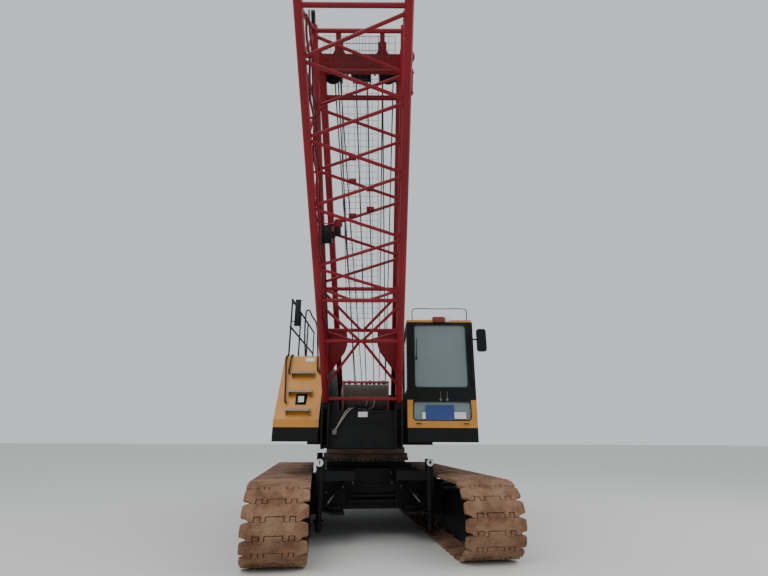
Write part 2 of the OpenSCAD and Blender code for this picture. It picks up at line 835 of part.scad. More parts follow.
module cab_walls() {
  color(black) upper() {
    // Front, above the yellow nose
    along(front_y, front_y + cab_wall) difference() {
      union() {
        translate([cab_inner, cab_nose_top + seat_gap])
          square([cab_outer - cab_inner, cab_high - seat_gap - cab_nose_top - seat_gap]);
        translate([lower_screen[0] + seat_gap, lower_screen[3]])
          square([lower_screen[1] - lower_screen[0] - 2 * seat_gap, cab_nose_top + 10 - lower_screen[3]]);
      }
      rounded(screen[0], screen[1], screen[2], screen[3], 40);
    }
    // Inner side
    across(cab_inner, cab_inner + cab_wall) difference() {
      translate([front_y + cab_wall + seat_gap, cab_low])
        square([cab_rear - front_y - cab_wall - seat_gap, cab_high - seat_gap - cab_low]);
      rounded(front_y + 130, cab_rear - 120, 2150, 3100, 60);
    }
    // Rear
    along(cab_rear - cab_wall, cab_rear) difference() {
      translate([cab_inner + cab_wall + seat_gap, cab_low])
        square([cab_outer - cab_inner - cab_wall - seat_gap, cab_high - seat_gap - cab_low]);
      rounded(cab_inner + 150, cab_outer - 150, 2300, 3050, 60);
    }
    // Outer side behind the door
    across(cab_outer - cab_wall, cab_outer)
      translate([cab_door_rear + door_gap, cab_low])
        square([cab_rear - cab_wall - seat_gap - cab_door_rear - door_gap, cab_high - seat_gap - cab_low]);
    hinges(1, cab_outer, cab_door_rear + door_gap, cab_low, cab_high, true);
  }
}

module cab_nose() {
  color(yellow) upper() along(front_y, front_y + cab_wall) difference() {
    translate([cab_inner, deck_z]) square([cab_outer - cab_inner, cab_nose_top - deck_z]);
    rounded(lower_screen[0], lower_screen[1], lower_screen[2], lower_screen[3] + 200, 60);
  }
}

module cab_roof() {
  color(yellow) upper() {
    translate([0, 0, cab_high]) linear_extrude(roof_lip)
      rounded(cab_inner, cab_outer, front_y, cab_rear, 30);
    translate([0, 0, cab_top - 1]) linear_extrude(13)
      rounded(cab_inner + 60, cab_outer - 60, front_y + 60, cab_rear - 60, 60);
  }
}

cab_door_front = front_y + cab_wall + door_gap;
cab_door_rear = -560;

module pane_along(w, z0, z1) {
  along(front_y + cab_wall / 2 - glass / 2, front_y + cab_wall / 2 + glass / 2)
    rounded(w[0] + seat_gap, w[1] - seat_gap, z0 + seat_gap, z1 - seat_gap, 40);
}

module cab_glass() {
  color("#6f8078", 0.4) upper() {
    pane_along(screen, screen[2], screen[3]);
    along(front_y + cab_wall / 2 - glass / 2, front_y + cab_wall / 2 + glass / 2) intersection() {
      rounded(lower_screen[0] + seat_gap, lower_screen[1] - seat_gap, lower_screen[2] + seat_gap,
              lower_screen[3] + 200, 60);
      translate([0, 0]) square([cab_outer, lower_screen[3] - seat_gap]);
    }
    across(cab_inner + cab_wall / 2 - glass / 2, cab_inner + cab_wall / 2 + glass / 2)
      rounded(front_y + 130 + seat_gap, cab_rear - 120 - seat_gap, 2150 + seat_gap, 3100 - seat_gap, 60);
    along(cab_rear - cab_wall / 2 - glass / 2, cab_rear - cab_wall / 2 + glass / 2)
      rounded(cab_inner + 150 + seat_gap, cab_outer - 150 - seat_gap, 2300 + seat_gap, 3050 - seat_gap, 60);
  }
}

module cab_door() {
  color(black) upper() {
    across(cab_outer - cab_wall, cab_outer) difference() {
      translate([cab_door_front, cab_low + door_gap])
        square([cab_door_rear - cab_door_front, cab_high - cab_low - 2 * door_gap]);
      rounded(cab_door_front + 80, cab_door_rear - 80, 2150, 3090, 60);
    }
    hinges(1, cab_outer, cab_door_rear + door_gap, cab_low, cab_high, false);
  }
}

module cab_seat() {
  color("#2a2a2d") upper() translate([(cab_inner + cab_outer) / 2, 0, 0]) {
    box([-150, -700, cab_low], [150, -400, cab_low + 350]);
    box([-250, -780, cab_low + 350], [250, -280, cab_low + 470]);
    box([-240, -330, cab_low + 460], [240, -220, cab_low + 1080]);
    for (x = [-370, 270])
      box([x, -900, cab_low], [x + 100, -350, cab_low + 560]);
  }
}

// Boom butt

// Removes the chords, a little larger, from a tube that ends on them
module coped() {
  difference() {
    children();
    for (side = [-1, 1]) {
      tube(front_at(side, -60), front_at(side, boom_length + 60), chord_radius + seat_gap);
      tube(rear_at(side, plate_start - 60), rear_at(side, boom_length + 60), chord_radius + seat_gap);
    }
  }
}

module boom_chords() {
  color(red) on_boom() for (side = [-1, 1]) {
    tube(front_at(side, 100), front_at(side, boom_length), chord_radius);
    tube(rear_at(side, plate_start), rear_at(side, boom_length), chord_radius);
  }
}

module boom_plates() {
  color(red) on_boom() coped() for (side = [-1, 1])
    across(side * boom_x - boom_plate / 2, side * boom_x + boom_plate / 2)
      polygon([[-10, 88], [40, 88], [rear_offset, plate_start], [rear_offset, tube_1 - 30],
               [front_y_at(tube_1 - 30), tube_1 - 30]]);
  // Gussets in the rear face, from the chords towards the middle
  color(red) on_boom() coped() for (side = [-1, 1])
    along(rear_offset - boom_plate / 2, rear_offset + boom_plate / 2)
      polygon([[side * boom_x, tube_1 - tube_radius - 1], [side * 220, tube_1 - tube_radius - 1],
               [side * 220, 900], [side * 257, 790], [side * 470, plate_start + 20],
               [side * boom_x, plate_start + 20]]);
}

// Zigzag and cross tubes between the front and rear chords of each side
module boom_side_lacing() {
  color(red) on_boom() for (side = [-1, 1]) {
    for (i = [0:lacing_bays - 1]) {
      a = lacing_start + i * bay;
      b = a + bay - end_shift + (i == lacing_bays - 1 ? last_end : 0);
      coped() tube(i % 2 == 0 ? rear_at(side, a + end_shift) : front_at(side, a + end_shift),
                   i % 2 == 0 ? front_at(side, b) : rear_at(side, b), lacing_radius);
    }
    for (s = [tube_1, tube_2, top_tube])
      coped() tube(front_at(side, s), rear_at(side, s), tube_radius);
    coped() tube(rear_at(side, tube_1 + lacing_shift), front_at(side, tube_2 - lacing_shift), lacing_radius);
  }
}

// Cross tubes and zigzag of a face; first is the side where the zigzag starts
module boom_face(front, first) {
  for (s = [tube_1, tube_2, top_tube])
    coped() tube(face_at(front, -1, s), face_at(front, 1, s), tube_radius);
  for (i = [0:lacing_bays - 1]) {
    a = lacing_start + i * bay;
    side = i % 2 == 0 ? first : -first;
    b = a + bay - end_shift + (i == lacing_bays - 1 ? last_end : 0);
    coped() tube(face_at(front, side, a + end_shift), face_at(front, -side, b), lacing_radius);
  }
  for (side = [-1, 1])
    coped() difference() {
      tube(face_at(front, side, tube_2 - lacing_shift), face_at(front, side * 0.03, tube_1), lacing_radius);
      tube(face_at(front, -1, tube_1), face_at(front, 1, tube_1), tube_radius + seat_gap);
    }
}

module boom_front_lacing() {
  color(red) on_boom() {
    boom_face(true, 1);
    coped() tube(front_at(-1, foot_tube), front_at(1, foot_tube), tube_radius);
    for (side = [-1, 1])
      coped() difference() {
        tube(face_at(true, side * 0.03, tube_1), front_at(side, v_end), lacing_radius);
        tube(front_at(-1, tube_1), front_at(1, tube_1), tube_radius + seat_gap);
      }
  }
}

module boom_rear_lacing() {
  color(red) on_boom() boom_face(false, -1);
}

// Braces inside the boom from the rear corners to the middle of the front tubes
module boom_braces() {
  color(red) on_boom() for (s = [tube_1, tube_2], side = [-1, 1])
    coped() difference() {
      tube([side * boom_x, rear_offset - 25, s], face_at(true, side * 0.2, s), lacing_radius);
      tube(front_at(-1, s), front_at(1, s), tube_radius + seat_gap);
      tube(rear_at(-1, s), rear_at(1, s), tube_radius + seat_gap);
      tube(front_at(side, s), rear_at(side, s), tube_radius + seat_gap);
    }
}

walkway_start = 1300;

module boom_walkway() {
  y = rear_offset + tube_radius + seat_gap;
  color(black) on_boom() {
    for (x = [-walkway_width / 2, -walkway_width / 6, walkway_width / 6, walkway_width / 2])
      box([x - 4, y, walkway_start], [x + 4, y + 12, boom_length - 100]);
    for (s = [walkway_start + 10:160:boom_length - 110])
      box([-walkway_width / 2, y + 2, s], [walkway_width / 2, y + 10, s + 8]);
  }
}

// Ear with a hole for a pin, thick across the crane, from z0 up to the hole
module pin_ear(x, y, z0, z, half, thick, bore) {
  difference() {
    union() {
      box([x - thick / 2, y - half, z0], [x + thick / 2, y + half, z]);
      shaft(x - thick / 2, x + thick / 2, y, z, half);
    }
    shaft(x - thick, x + thick, y, z, bore);
  }
}

module boom_lugs() {
  color(black) on_boom() for (side = [-1, 1]) {
    pin_ear(side * boom_x, rear_offset, boom_length + seat_gap, boom_length + 110, 45, 40, lug_bore);
    pin_ear(side * boom_x, front_y_at(boom_length), boom_length + chord_radius * sin(front_angle) + seat_gap,
            boom_length + 110, 45, 40, lug_bore);
    pin_ear_foot(side);
  }
}

// Ear of the boom foot, whose stem ends under the chord
module pin_ear_foot(side) {
  difference() {
    union() {
      shaft(side * boom_x - lug_width / 2, side * boom_x + lug_width / 2, 0, 0, 80);
      box([side * boom_x - lug_width / 2, -60, 0], [side * boom_x + lug_width / 2, 40, 88 - seat_gap]);
    }
    shaft(side * boom_x - lug_width, side * boom_x + lug_width, 0, 0, foot_pin + pin_gap);
  }
}

// Mast

module mast_legs() {
  color(red) on_mast() for (side = [-1, 1]) {
    box([side * mast_x - mast_leg / 2, -mast_leg / 2, 140],
        [side * mast_x + mast_leg / 2, mast_leg / 2, mast_length]);
    // The leg widens towards the head
    along(-mast_leg / 2, mast_leg / 2)
      polygon([[side * (mast_width / 2 - 5), mast_length - 430], [side * mast_width / 2, mast_length - 430],
               [side * (mast_width / 2 + 60), mast_length], [side * (mast_width / 2 - 5), mast_length]]);
    difference() {
      union() {
        translate([side * mast_x - mast_lug / 2, 0, 0]) rotate([0, 90, 0]) cylinder(h = mast_lug, r = 70, $fn = 48);
        box([side * mast_x - mast_lug / 2, -mast_leg / 2, 0],
            [side * mast_x + mast_lug / 2, mast_leg / 2, 160]);
      }
      translate([side * mast_x - mast_lug, 0, 0])
        rotate([0, 90, 0]) cylinder(h = 2 * mast_lug, r = foot_pin + pin_gap, $fn = 48);
    }
  }
}

head_half = 60;
head_beam = 50;
head_plate = 184;
ear_x = 273;
ear_base = mast_length + head_beam + head_plate;
ear_pin = ear_base + 226;
sheave_radius = 150;
sheave_groups = [-505, -120, 230];
sheave_group = 240;
sheave_y = head_half + 12 + sheave_radius + free_gap;

module mast_head() {
  color(red) on_mast() {
    for (s = [1900, mast_length - 285])
      tube([-mast_x + mast_leg / 2 + seat_gap, 0, s], [mast_x - mast_leg / 2 - seat_gap, 0, s], 33);
    box([-mast_width / 2, -head_half + 10, mast_length + seat_gap],
        [mast_width / 2, head_half + 12, mast_length + head_beam]);
    shaft(-mast_width / 2 - 20, mast_width / 2 + 20, -head_half, mast_length + 38, 34);
    box([-mast_width / 2, -head_half, mast_length + head_beam - 1],
        [mast_width / 2, head_half, ear_base]);
    // Lugs at the ends of the head
    for (x = [-mast_width / 2, mast_width / 2 - 50])
      box([x, -30, ear_base - 1], [x + 50, 30, ear_base + 48]);
    for (side = [-1, 1]) difference() {
      union() {
        along(-45, 45)
          polygon([[side * ear_x - 80, ear_base - 1], [side * ear_x + 80, ear_base - 1],
                   [side * ear_x + 52, ear_base + 40], [side * ear_x + 52, ear_base + 126],
                   [side * ear_x + 30, ear_base + 140], [side * ear_x + 30, ear_pin],
                   [side * ear_x - 30, ear_pin], [side * ear_x - 30, ear_base + 140],
                   [side * ear_x - 52, ear_base + 126], [side * ear_x - 52, ear_base + 40]]);
        shaft(side * ear_x - 30, side * ear_x + 30, 0, ear_pin, 45);
      }
      shaft(side * ear_x - 60, side * ear_x + 60, 0, ear_pin, lug_bore);
    }
  }
}

// Three groups of rope sheaves behind the head, on one shaft
module mast_sheaves() {
  s = mast_length + 10;
  color(black) on_mast() {
    for (x = sheave_groups) {
      shaft(x, x + sheave_group, sheave_y, s, sheave_radius - 22);
      for (i = [0:3])
        shaft(x + i * (sheave_group - 18) / 3, x + i * (sheave_group - 18) / 3 + 18, sheave_y, s, sheave_radius);
    }
    shaft(sheave_groups[0] - 15, sheave_groups[2] + sheave_group + 15, sheave_y, s, 30);
    for (x = [sheave_groups[1] - 80, sheave_groups[2] - 65])
      box([x, head_half + 12 + seat_gap, s - 40], [x + 20, sheave_y + 45, s + 40]);
  }
}

module mirror_and_lamps() {
  color(black) upper() {
    // Mirror on an arm from the corner of the cab
    box([cab_outer - 60, front_y - 90, 2880], [cab_outer - 40, front_y - seat_gap, 2900]);
    box([cab_outer - 60, front_y - 90, 2880], [cab_outer + 60, front_y - 76, 2900]);
    along(front_y - 110, front_y - 75) rounded(cab_outer + 37, cab_outer + 183, 2702, 3051, 40);
    // Light bar on the cab roof
    translate([0, 0, cab_top + 12 + seat_gap]) linear_extrude(70)
      rounded(cab_inner + 430, cab_inner + 710, front_y + 230, front_y + 350, 50);
    // Lamp behind the hole in the stepped front
    low = lamp_z - lamp_half - 15;
    high = lamp_z + lamp_half + 15;
    across(lamp_x - lamp_half - 15, lamp_x + lamp_half + 15)
      polygon([[step_face(low) + panel + seat_gap, low], [step_face(high) + panel + 60, low],
               [step_face(high) + panel + 60, high], [step_face(high) + panel + seat_gap, high]]);
    translate([lamp_x, step_face(lamp_z) + panel + 60, lamp_z]) rotate([90, 0, 0])
      cylinder(h = 100, r = 60, $fn = 48);
  }
}

carbody();
axle_beams();
slew_ring();
side_frame(-1);  // side_frame_left
side_frame(1);  // side_frame_right
track(-1);  // track_left
track(1);  // track_right
end_wheels();
track_rollers();
jack_tubes();
jack(jack_x, -jack_y);  // jack_1
jack(jack_x, jack_y);  // jack_2
jack(-jack_x, jack_y);  // jack_3
jack(-jack_x, -jack_y);  // jack_4
ring_cover();
main_frame();
foot_brackets();
front_plate();
skirt(left_outer, left_inner, front_y, housing_rear);  // skirt_left
skirt(cab_inner, cab_outer, front_y, housing_rear);  // skirt_right
left_front();
left_side();
left_inner_wall();
left_roof();
left_steps();
left_rails();
side_door(left_doors[0], -1, left_outer);  // left_door_1
side_door(left_doors[1], -1, left_outer);  // left_door_2
fuel_tank();
engine_side();
engine_wall();
engine_roof();
side_door(engine_doors[0], 1, cab_outer);  // engine_door
engine();
winch_frames();
drum(front_drum_y);  // drum_front
drum(rear_drum_y);  // drum_rear
drum(luffing_drum_y);  // drum_luffing
rear_bail();
weight_base();
weight_slabs();
cab_floor();
cab_walls();
cab_nose();
cab_roof();
cab_glass();
cab_seat();
cab_door();
boom_chords();
boom_plates();
boom_side_lacing();
boom_front_lacing();
boom_rear_lacing();
boom_braces();
boom_walkway();
boom_lugs();
mast_legs();
mast_head();
mast_sheaves();
mirror_and_lamps();
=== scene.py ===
import json
import math

import bpy
from mathutils import Matrix, Vector


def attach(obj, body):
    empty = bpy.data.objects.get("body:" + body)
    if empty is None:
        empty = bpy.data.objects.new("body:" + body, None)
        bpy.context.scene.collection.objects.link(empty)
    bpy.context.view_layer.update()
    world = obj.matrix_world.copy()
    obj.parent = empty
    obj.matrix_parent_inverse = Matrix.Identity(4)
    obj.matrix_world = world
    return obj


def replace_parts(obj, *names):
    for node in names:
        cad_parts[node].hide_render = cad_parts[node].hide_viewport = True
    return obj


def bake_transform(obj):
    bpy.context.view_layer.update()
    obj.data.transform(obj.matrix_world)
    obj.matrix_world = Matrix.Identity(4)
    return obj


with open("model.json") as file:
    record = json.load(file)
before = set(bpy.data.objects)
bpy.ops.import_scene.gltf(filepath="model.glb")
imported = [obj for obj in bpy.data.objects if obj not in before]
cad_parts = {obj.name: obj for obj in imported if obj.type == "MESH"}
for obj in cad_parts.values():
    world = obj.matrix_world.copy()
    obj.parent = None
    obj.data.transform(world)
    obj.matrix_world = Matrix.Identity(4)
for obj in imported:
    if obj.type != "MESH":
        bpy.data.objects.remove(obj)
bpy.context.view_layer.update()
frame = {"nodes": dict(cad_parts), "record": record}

bpy.context.scene.tool_settings.mesh_select_mode = (False, False, True)

X, Y = Vector((1, 0, 0)), Vector((0, 1, 0))
QUARTER = math.radians(90)
# Turns that lay a primitive's axis along X or Y
ALONG_X, ALONG_Y = (0, QUARTER, 0), (QUARTER, 0, 0)
FACE_UP_TO_FRONT = Matrix.Rotation(QUARTER, 4, "X")
# Distance within which two places count as one
NEAR = 0.001
# A face looks in a direction if more than this share of its normal points there
FACING = 0.9

# Slewing axis on the tracks, and the angle of the upper on it in degrees
SLEW_AXIS = Vector((-0.167, 0.732, 0.0))
SLEW_ANGLE = -7.8
TO_UNDER = Matrix.Translation(SLEW_AXIS)
TO_UPPER = TO_UNDER @ Matrix.Rotation(math.radians(SLEW_ANGLE), 4, "Z")

# Foot pins of boom and mast on the upper, and their angles over the ground in degrees
BOOM_FOOT, BOOM_ELEVATION = (0.0, -1.69, 1.9), 53.8
MAST_FOOT, MAST_ELEVATION = (0.0, 0.7, 1.81), 41.6


def raised(foot, elevation):
    """Place of a boom or mast that is drawn upright, with its foot at the origin."""
    return TO_UPPER @ Matrix.Translation(foot) @ Matrix.Rotation(math.radians(90 - elevation), 4, "X")


TO_BOOM = raised(BOOM_FOOT, BOOM_ELEVATION)
TO_MAST = raised(MAST_FOOT, MAST_ELEVATION)
# Every other body is drawn on the upper
PLACES = {"undercarriage": TO_UNDER, "boom": TO_BOOM, "mast": TO_MAST}


def at(x, y, z):
    """Shift along the three axes."""
    return Matrix.Translation((x, y, z))


# Materials

BLACK = (0, 0, 0, 1)
WHITE = (1, 1, 1, 1)


def linear(hex_colour):
    """Turns an sRGB hex colour into Blender's linear colour."""
    channels = [int(hex_colour[i:i + 2], 16) / 255 for i in (1, 3, 5)]
    return [c / 12.92 if c <= 0.04045 else ((c + 0.055) / 1.055) ** 2.4 for c in channels] + [1.0]


def grey(value):
    """Plain grey of a linear value."""
    return [value] * 3 + [1]


def add_node(tree, kind, values=(), links=(), **settings):
    """Adds a node with its settings, socket values and links."""
    made = tree.nodes.new(kind)
    for name, value in settings.items():
        setattr(made, name, value)
    for socket, value in dict(values).items():
        made.inputs[socket].default_value = value
    for socket, source in dict(links).items():
        tree.links.new(source, made.inputs[socket])
    return made


def new_material(name, **values):
    """Returns a material, its node tree and its surface shader with plain values set."""
    material = bpy.data.materials.new(name)
    material.use_nodes = True
    shader = material.node_tree.nodes["Principled BSDF"]
    for socket, value in values.items():
        shader.inputs[socket.replace("_", " ")].default_value = value
    return material, material.node_tree, shader


def object_place(tree):
    """Object coordinates, in metres."""
    return add_node(tree, "ShaderNodeTexCoord").outputs["Object"]


def patchy(tree, place, scale, low, high, colours, detail=6.0, stretch=(1, 1, 1)):
    """Noise with scale patches in a metre, from the first colour at share low to the second at high."""
    turned = add_node(tree, "ShaderNodeMapping", {"Scale": stretch}, {"Vector": place})
    field = add_node(tree, "ShaderNodeTexNoise", {"Scale": scale, "Detail": detail, "Roughness": 0.62},
                     {"Vector": turned.outputs["Vector"]})
    ramp = add_node(tree, "ShaderNodeValToRGB", links={"Fac": field.outputs["Fac"]})
    for stop, position, colour in zip(ramp.color_ramp.elements, (low, high), colours):
        stop.position = position
        stop.color = colour
    return ramp.outputs["Color"]


def blend_colours(tree, share, first, second):
    """Mixes two colours, each a socket or a plain colour, by a socket."""
    mix = add_node(tree, "ShaderNodeMix", data_type="RGBA")
    for socket, source in ((0, share), (6, first), (7, second)):
        if isinstance(source, bpy.types.NodeSocket):
            tree.links.new(source, mix.inputs[socket])
        else:
            mix.inputs[socket].default_value = source
    return mix.outputs[2]


def uneven(tree, place, shader, scale, detail, strength, distance):
    """Raises the surface by noise with scale bumps in a metre."""
    height = add_node(tree, "ShaderNodeTexNoise", {"Scale": scale, "Detail": detail}, {"Vector": place})
    bump = add_node(tree, "ShaderNodeBump", {"Strength": strength, "Distance": distance},
                    {"Height": height.outputs["Fac"]})
    tree.links.new(bump.outputs["Normal"], shader.inputs["Normal"])


def weathered_enamel(name, base, worn, dust, dust_amount, roughness, streaks=1.0, gloss=0.5):
    """Sprayed enamel on steel plate: a satin skin with rain streaks, dust and shallow dents."""
    material, tree, shader = new_material(name, IOR=1.5, Specular_IOR_Level=gloss)
    place = object_place(tree)
    # Fading in patches of about half a metre
    faded = patchy(tree, place, 1.8, 0.35, 0.75, (linear(base), linear(worn)))
    # Rain streaks about 40 mm wide and 400 mm long
    streak = patchy(tree, place, 3.0, 0.5, 0.72, (BLACK, WHITE), 8.0, (9, 9, 0.8))
    streak = add_node(tree, "ShaderNodeMath", {1: dust_amount * streaks}, {0: streak}, operation="MULTIPLY")
    streaked = blend_colours(tree, streak.outputs[0], faded, linear(dust))
    # Dust that settles in spots of some 20 mm
    spots = patchy(tree, place, 42.0, 0.55, 0.8, (BLACK, WHITE))
    spots = add_node(tree, "ShaderNodeMath", {1: dust_amount}, {0: spots}, operation="MULTIPLY")
    colour = blend_colours(tree, spots.outputs[0], streaked, linear(dust))
    tree.links.new(colour, shader.inputs["Base Color"])
    # Duller and smoother areas of about 140 mm
    rough = patchy(tree, place, 7.0, 0.3, 0.8, (grey(roughness - 0.08), grey(roughness + 0.16)))
    tree.links.new(rough, shader.inputs["Roughness"])
    # Dents of the plate, about 200 mm across
    uneven(tree, place, shader, 5.0, 3.0, 0.25, 0.01)
    return material


def rusty_steel(name, dark, light, mud, scale=9.0, relief=0.02, mud_share=0.7):
    """Cast steel that stands outdoors: rust in layers under dried mud, rough to the touch."""
    material, tree, shader = new_material(name, Roughness=0.88)
    place = object_place(tree)
    # At scale 9: rust in patches of 110 mm, mud in cakes of 330 mm and pits of 12 mm
    rust = patchy(tree, place, scale, 0.35, 0.7, (linear(dark), linear(light)), 10.0)
    cake = patchy(tree, place, scale / 3, 0.42, 0.62, (BLACK, grey(mud_share)), 8.0)
    caked = blend_colours(tree, cake, rust, linear(mud))
    pits = patchy(tree, place, scale * 9, 0.3, 0.75, (linear(dark), WHITE), 4.0)
    colour = add_node(tree, "ShaderNodeMix", {0: 0.6}, {6: caked, 7: pits}, data_type="RGBA",
                      blend_type="MULTIPLY")
    tree.links.new(colour.outputs[2], shader.inputs["Base Color"])
    uneven(tree, place, shader, scale * 4, 9.0, 0.7, relief)
    return material


def safety_glass(name):
    """Laminated cab glass: clear, a little green, greyed by dust and by a painted sky reflection."""
    material, tree, shader = new_material(name, Roughness=0.08, IOR=1.5, Alpha=0.8)
    # Dust and a painted grey sky reflection, in clouds of about 800 mm
    dust_and_sky_reflection = patchy(tree, object_place(tree), 1.2, 0.3, 0.8, (linear("#74848A"), linear("#82928F")), 2.0)
    tree.links.new(dust_and_sky_reflection, shader.inputs["Base Color"])
    return material


def plain(name, colour, roughness, metallic=0.0, grain=60.0, relief=0.002, spread=0.25):
    """A small fitting's finish: one colour of uneven tone, with a grain of 1 / grain metres.

    The real grain is finer than a millimetre. This one is as coarse as it needs to show.
    """
    material, tree, shader = new_material(name, Roughness=roughness, Metallic=metallic)
    place = object_place(tree)
    tone = linear(colour)
    darker = [c * (1 - spread) for c in tone[:3]] + [1]
    tree.links.new(patchy(tree, place, grain / 6, 0.35, 0.7, (tone, darker)), shader.inputs["Base Color"])
    uneven(tree, place, shader, grain, 4.0, 0.3, relief)
    return material


# Housings: warm satin yellow, faded in patches, with grey-brown dust in streaks
YELLOW = weathered_enamel("yellow enamel", "#C4842B", "#B07323", "#7E6B50", 0.32, 0.44, 0.5)
# Chassis, cab frame and counterweight: near black and dull, with little shine left
BLACK_PAINT = weathered_enamel("black chassis paint", "#08090B", "#0E0F11", "#2E2A25", 0.12, 0.55, 0.3, 0.22)
# Boom and mast: deep wine red, smoother than the chassis
RED = weathered_enamel("red boom enamel", "#860618", "#6A0511", "#4E2426", 0.12, 0.42, 0.5, 0.35)
# Ring cover: brown dust that sticks to a skin of grease, all its colours lightened as painted fill light for
# the shade under the upper
RING_BROWN = weathered_enamel("dusty grease skin with painted fill light", "#6A5040", "#7E6250", "#8A7256", 0.45, 0.7, 0.3)
# Track shoes: orange-brown rust under pale dried mud
SHOES = rusty_steel("rusty cast track shoes", "#6A4733", "#9C7050", "#AE8F70")
# Toothed ring and exhaust: old grease and scale, brown in small patches, all colours lightened as painted
# fill light for the shade on the ring
GREASE_WITH_PAINTED_LIGHT = rusty_steel("greased ring steel with painted fill light", "#4A4038", "#806C5C", "#9A8066", 12.0, 0.004, 0.5)
# Steel that hands, boots and pins keep bare: grey with a soft shine
WORN = plain("worn bare steel", "#6F6F70", 0.45, 0.85)
# Steps and the hoist rope's end: the pale dull grey of zinc
TREAD = plain("galvanised tread plate", "#9C948A", 0.55, 0.6)
# End wheels and rollers: mid grey and rough from the sand mould
IRON = plain("painted cast iron", "#6B6E72", 0.6)
# Seat: dark grey weave without shine, its threads drawn about 3 mm wide
CLOTH = plain("woven seat cloth", "#26272A", 0.9, 0.0, 300.0)
# Panes: clear with a green tinge, greyed by dust and by a painted sky reflection
GLASS = safety_glass("laminated cab glass")
# Walkway: thin dark wires with a trace of metal
MESH = plain("welded wire mesh", "#2E2F31", 0.55, 0.3)
# Hoses, seals, handles and blades: black and matt
RUBBER = plain("moulded black rubber", "#0D0E10", 0.72, 0.0, 120.0)
# Luffing ropes: dark strands with a shine of grease
WIRE_ROPE = plain("greased wire rope", "#38342F", 0.5, 0.5, 260.0, 0.004, 0.45)
# Windings: grey-brown, the grease hidden by dust
DRUM_ROPE = plain("dusty wire rope on the drum", "#6E645A", 0.62, 0.2, 260.0, 0.004, 0.45)
# Roller bar over the front drum: red primer bleached to a dull pink
PINK = plain("faded red lead primer", "#A4484A", 0.6, 0.0, 40.0, 0.002, 0.3)
# Number discs and blank plates: clean white with a soft shine
WHITE_ENAMEL = plain("white enamel plate", "#D6D8D6", 0.45, 0.0, 50.0, 0.001, 0.12)
# Blank sign at the lower screen: even mid blue
BLUE_ENAMEL = plain("blue enamel plate", "#24407E", 0.4, 0.0, 50.0, 0.001, 0.12)
# Mirror: a grey sheet that shows what is round it
CHROME = plain("silvered mirror glass", "#8A9096", 0.22, 1.0, 300.0, 0.0005, 0.06)
# Light bar: deep orange-red and glossy
AMBER = plain("orange acrylic lens", "#84301F", 0.3, 0.0, 90.0, 0.001, 0.35)
# Lamp and clear end of the light bar: milky white
LENS = plain("frosted lamp glass", "#D9DAD2", 0.22, 0.0, 90.0, 0.001, 0.12)

FINISHES = {
    "yellow_paint": YELLOW, "black_paint": BLACK_PAINT, "red_paint": RED, "rusty_shoes": SHOES,
    "greased_steel": GREASE_WITH_PAINTED_LIGHT, "worn_steel": WORN, "galvanised_steel": TREAD, "cast_iron": IRON,
    "seat_cloth": CLOTH, "pane": GLASS,
}
# Slot under which each finish of a new piece is listed
SLOT_OF = {material: slot for slot, material in FINISHES.items()}
SLOT_OF.update({material: "black_paint" for material in (MESH, RUBBER, WIRE_ROPE, DRUM_ROPE)})
SLOT_OF.update({material: "worn_steel" for material in (WHITE_ENAMEL, BLUE_ENAMEL, CHROME)})
SLOT_OF.update({AMBER: "pane", LENS: "pane", PINK: "red_paint"})


def dress_nodes():
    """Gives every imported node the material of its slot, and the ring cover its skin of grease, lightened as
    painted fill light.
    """
    slots = {part["node"]: part["material_slot"] for part in frame["record"]["subparts"]}
    for name, node in frame["nodes"].items():
        node.data.materials.clear()
        node.data.materials.append(RING_BROWN if name == "ring_cover" else FINISHES[slots[name]])


dress_nodes()


# Modelling helpers

def take(*pieces):
    """Selects these pieces and nothing else, and makes the first one active."""
    bpy.ops.object.select_all(action="DESELECT")
    for piece in pieces:
        piece.select_set(True)
    bpy.context.view_layer.objects.active = pieces[0]


def begin(kind, scale=(1, 1, 1), **settings):
    """Adds one primitive, with nothing else selected, its size and place in its mesh."""
    bpy.ops.object.select_all(action="DESELECT")
    getattr(bpy.ops.mesh, f"primitive_{kind}_add")(**settings)
    piece = bpy.context.object
    piece.scale = scale
    bpy.ops.object.transform_apply(location=True, rotation=True, scale=True)
    return piece


def block(low, high):
    """Block between two corners, to be shaped further."""
    low, high = Vector(low), Vector(high)
    return begin("cube", high - low, size=1, location=(low + high) / 2)


def rod(start, end, radius, sides=16):
    """Round bar between two points."""
    start, end = Vector(start), Vector(end)
    along = end - start
    return begin("cylinder", vertices=sides, radius=radius, depth=along.length,
                 location=(start + end) / 2, rotation=along.to_track_quat("Z", "Y").to_euler())


def disc(middle, radius, depth, sides, turn=(0, 0, 0)):
    """Round plate about its middle, its axis along Z unless it is turned."""
    return begin("cylinder", vertices=sides, radius=radius, depth=depth, location=middle, rotation=turn)


def hoop(middle, radius, thickness, sides, turn, scale=(1, 1, 1)):
    """Ring of round bar about its middle, with sides round the ring and round the bar."""
    return begin("torus", scale, major_segments=sides[0], minor_segments=sides[1], major_radius=radius,
                 minor_radius=thickness, location=middle, rotation=turn)


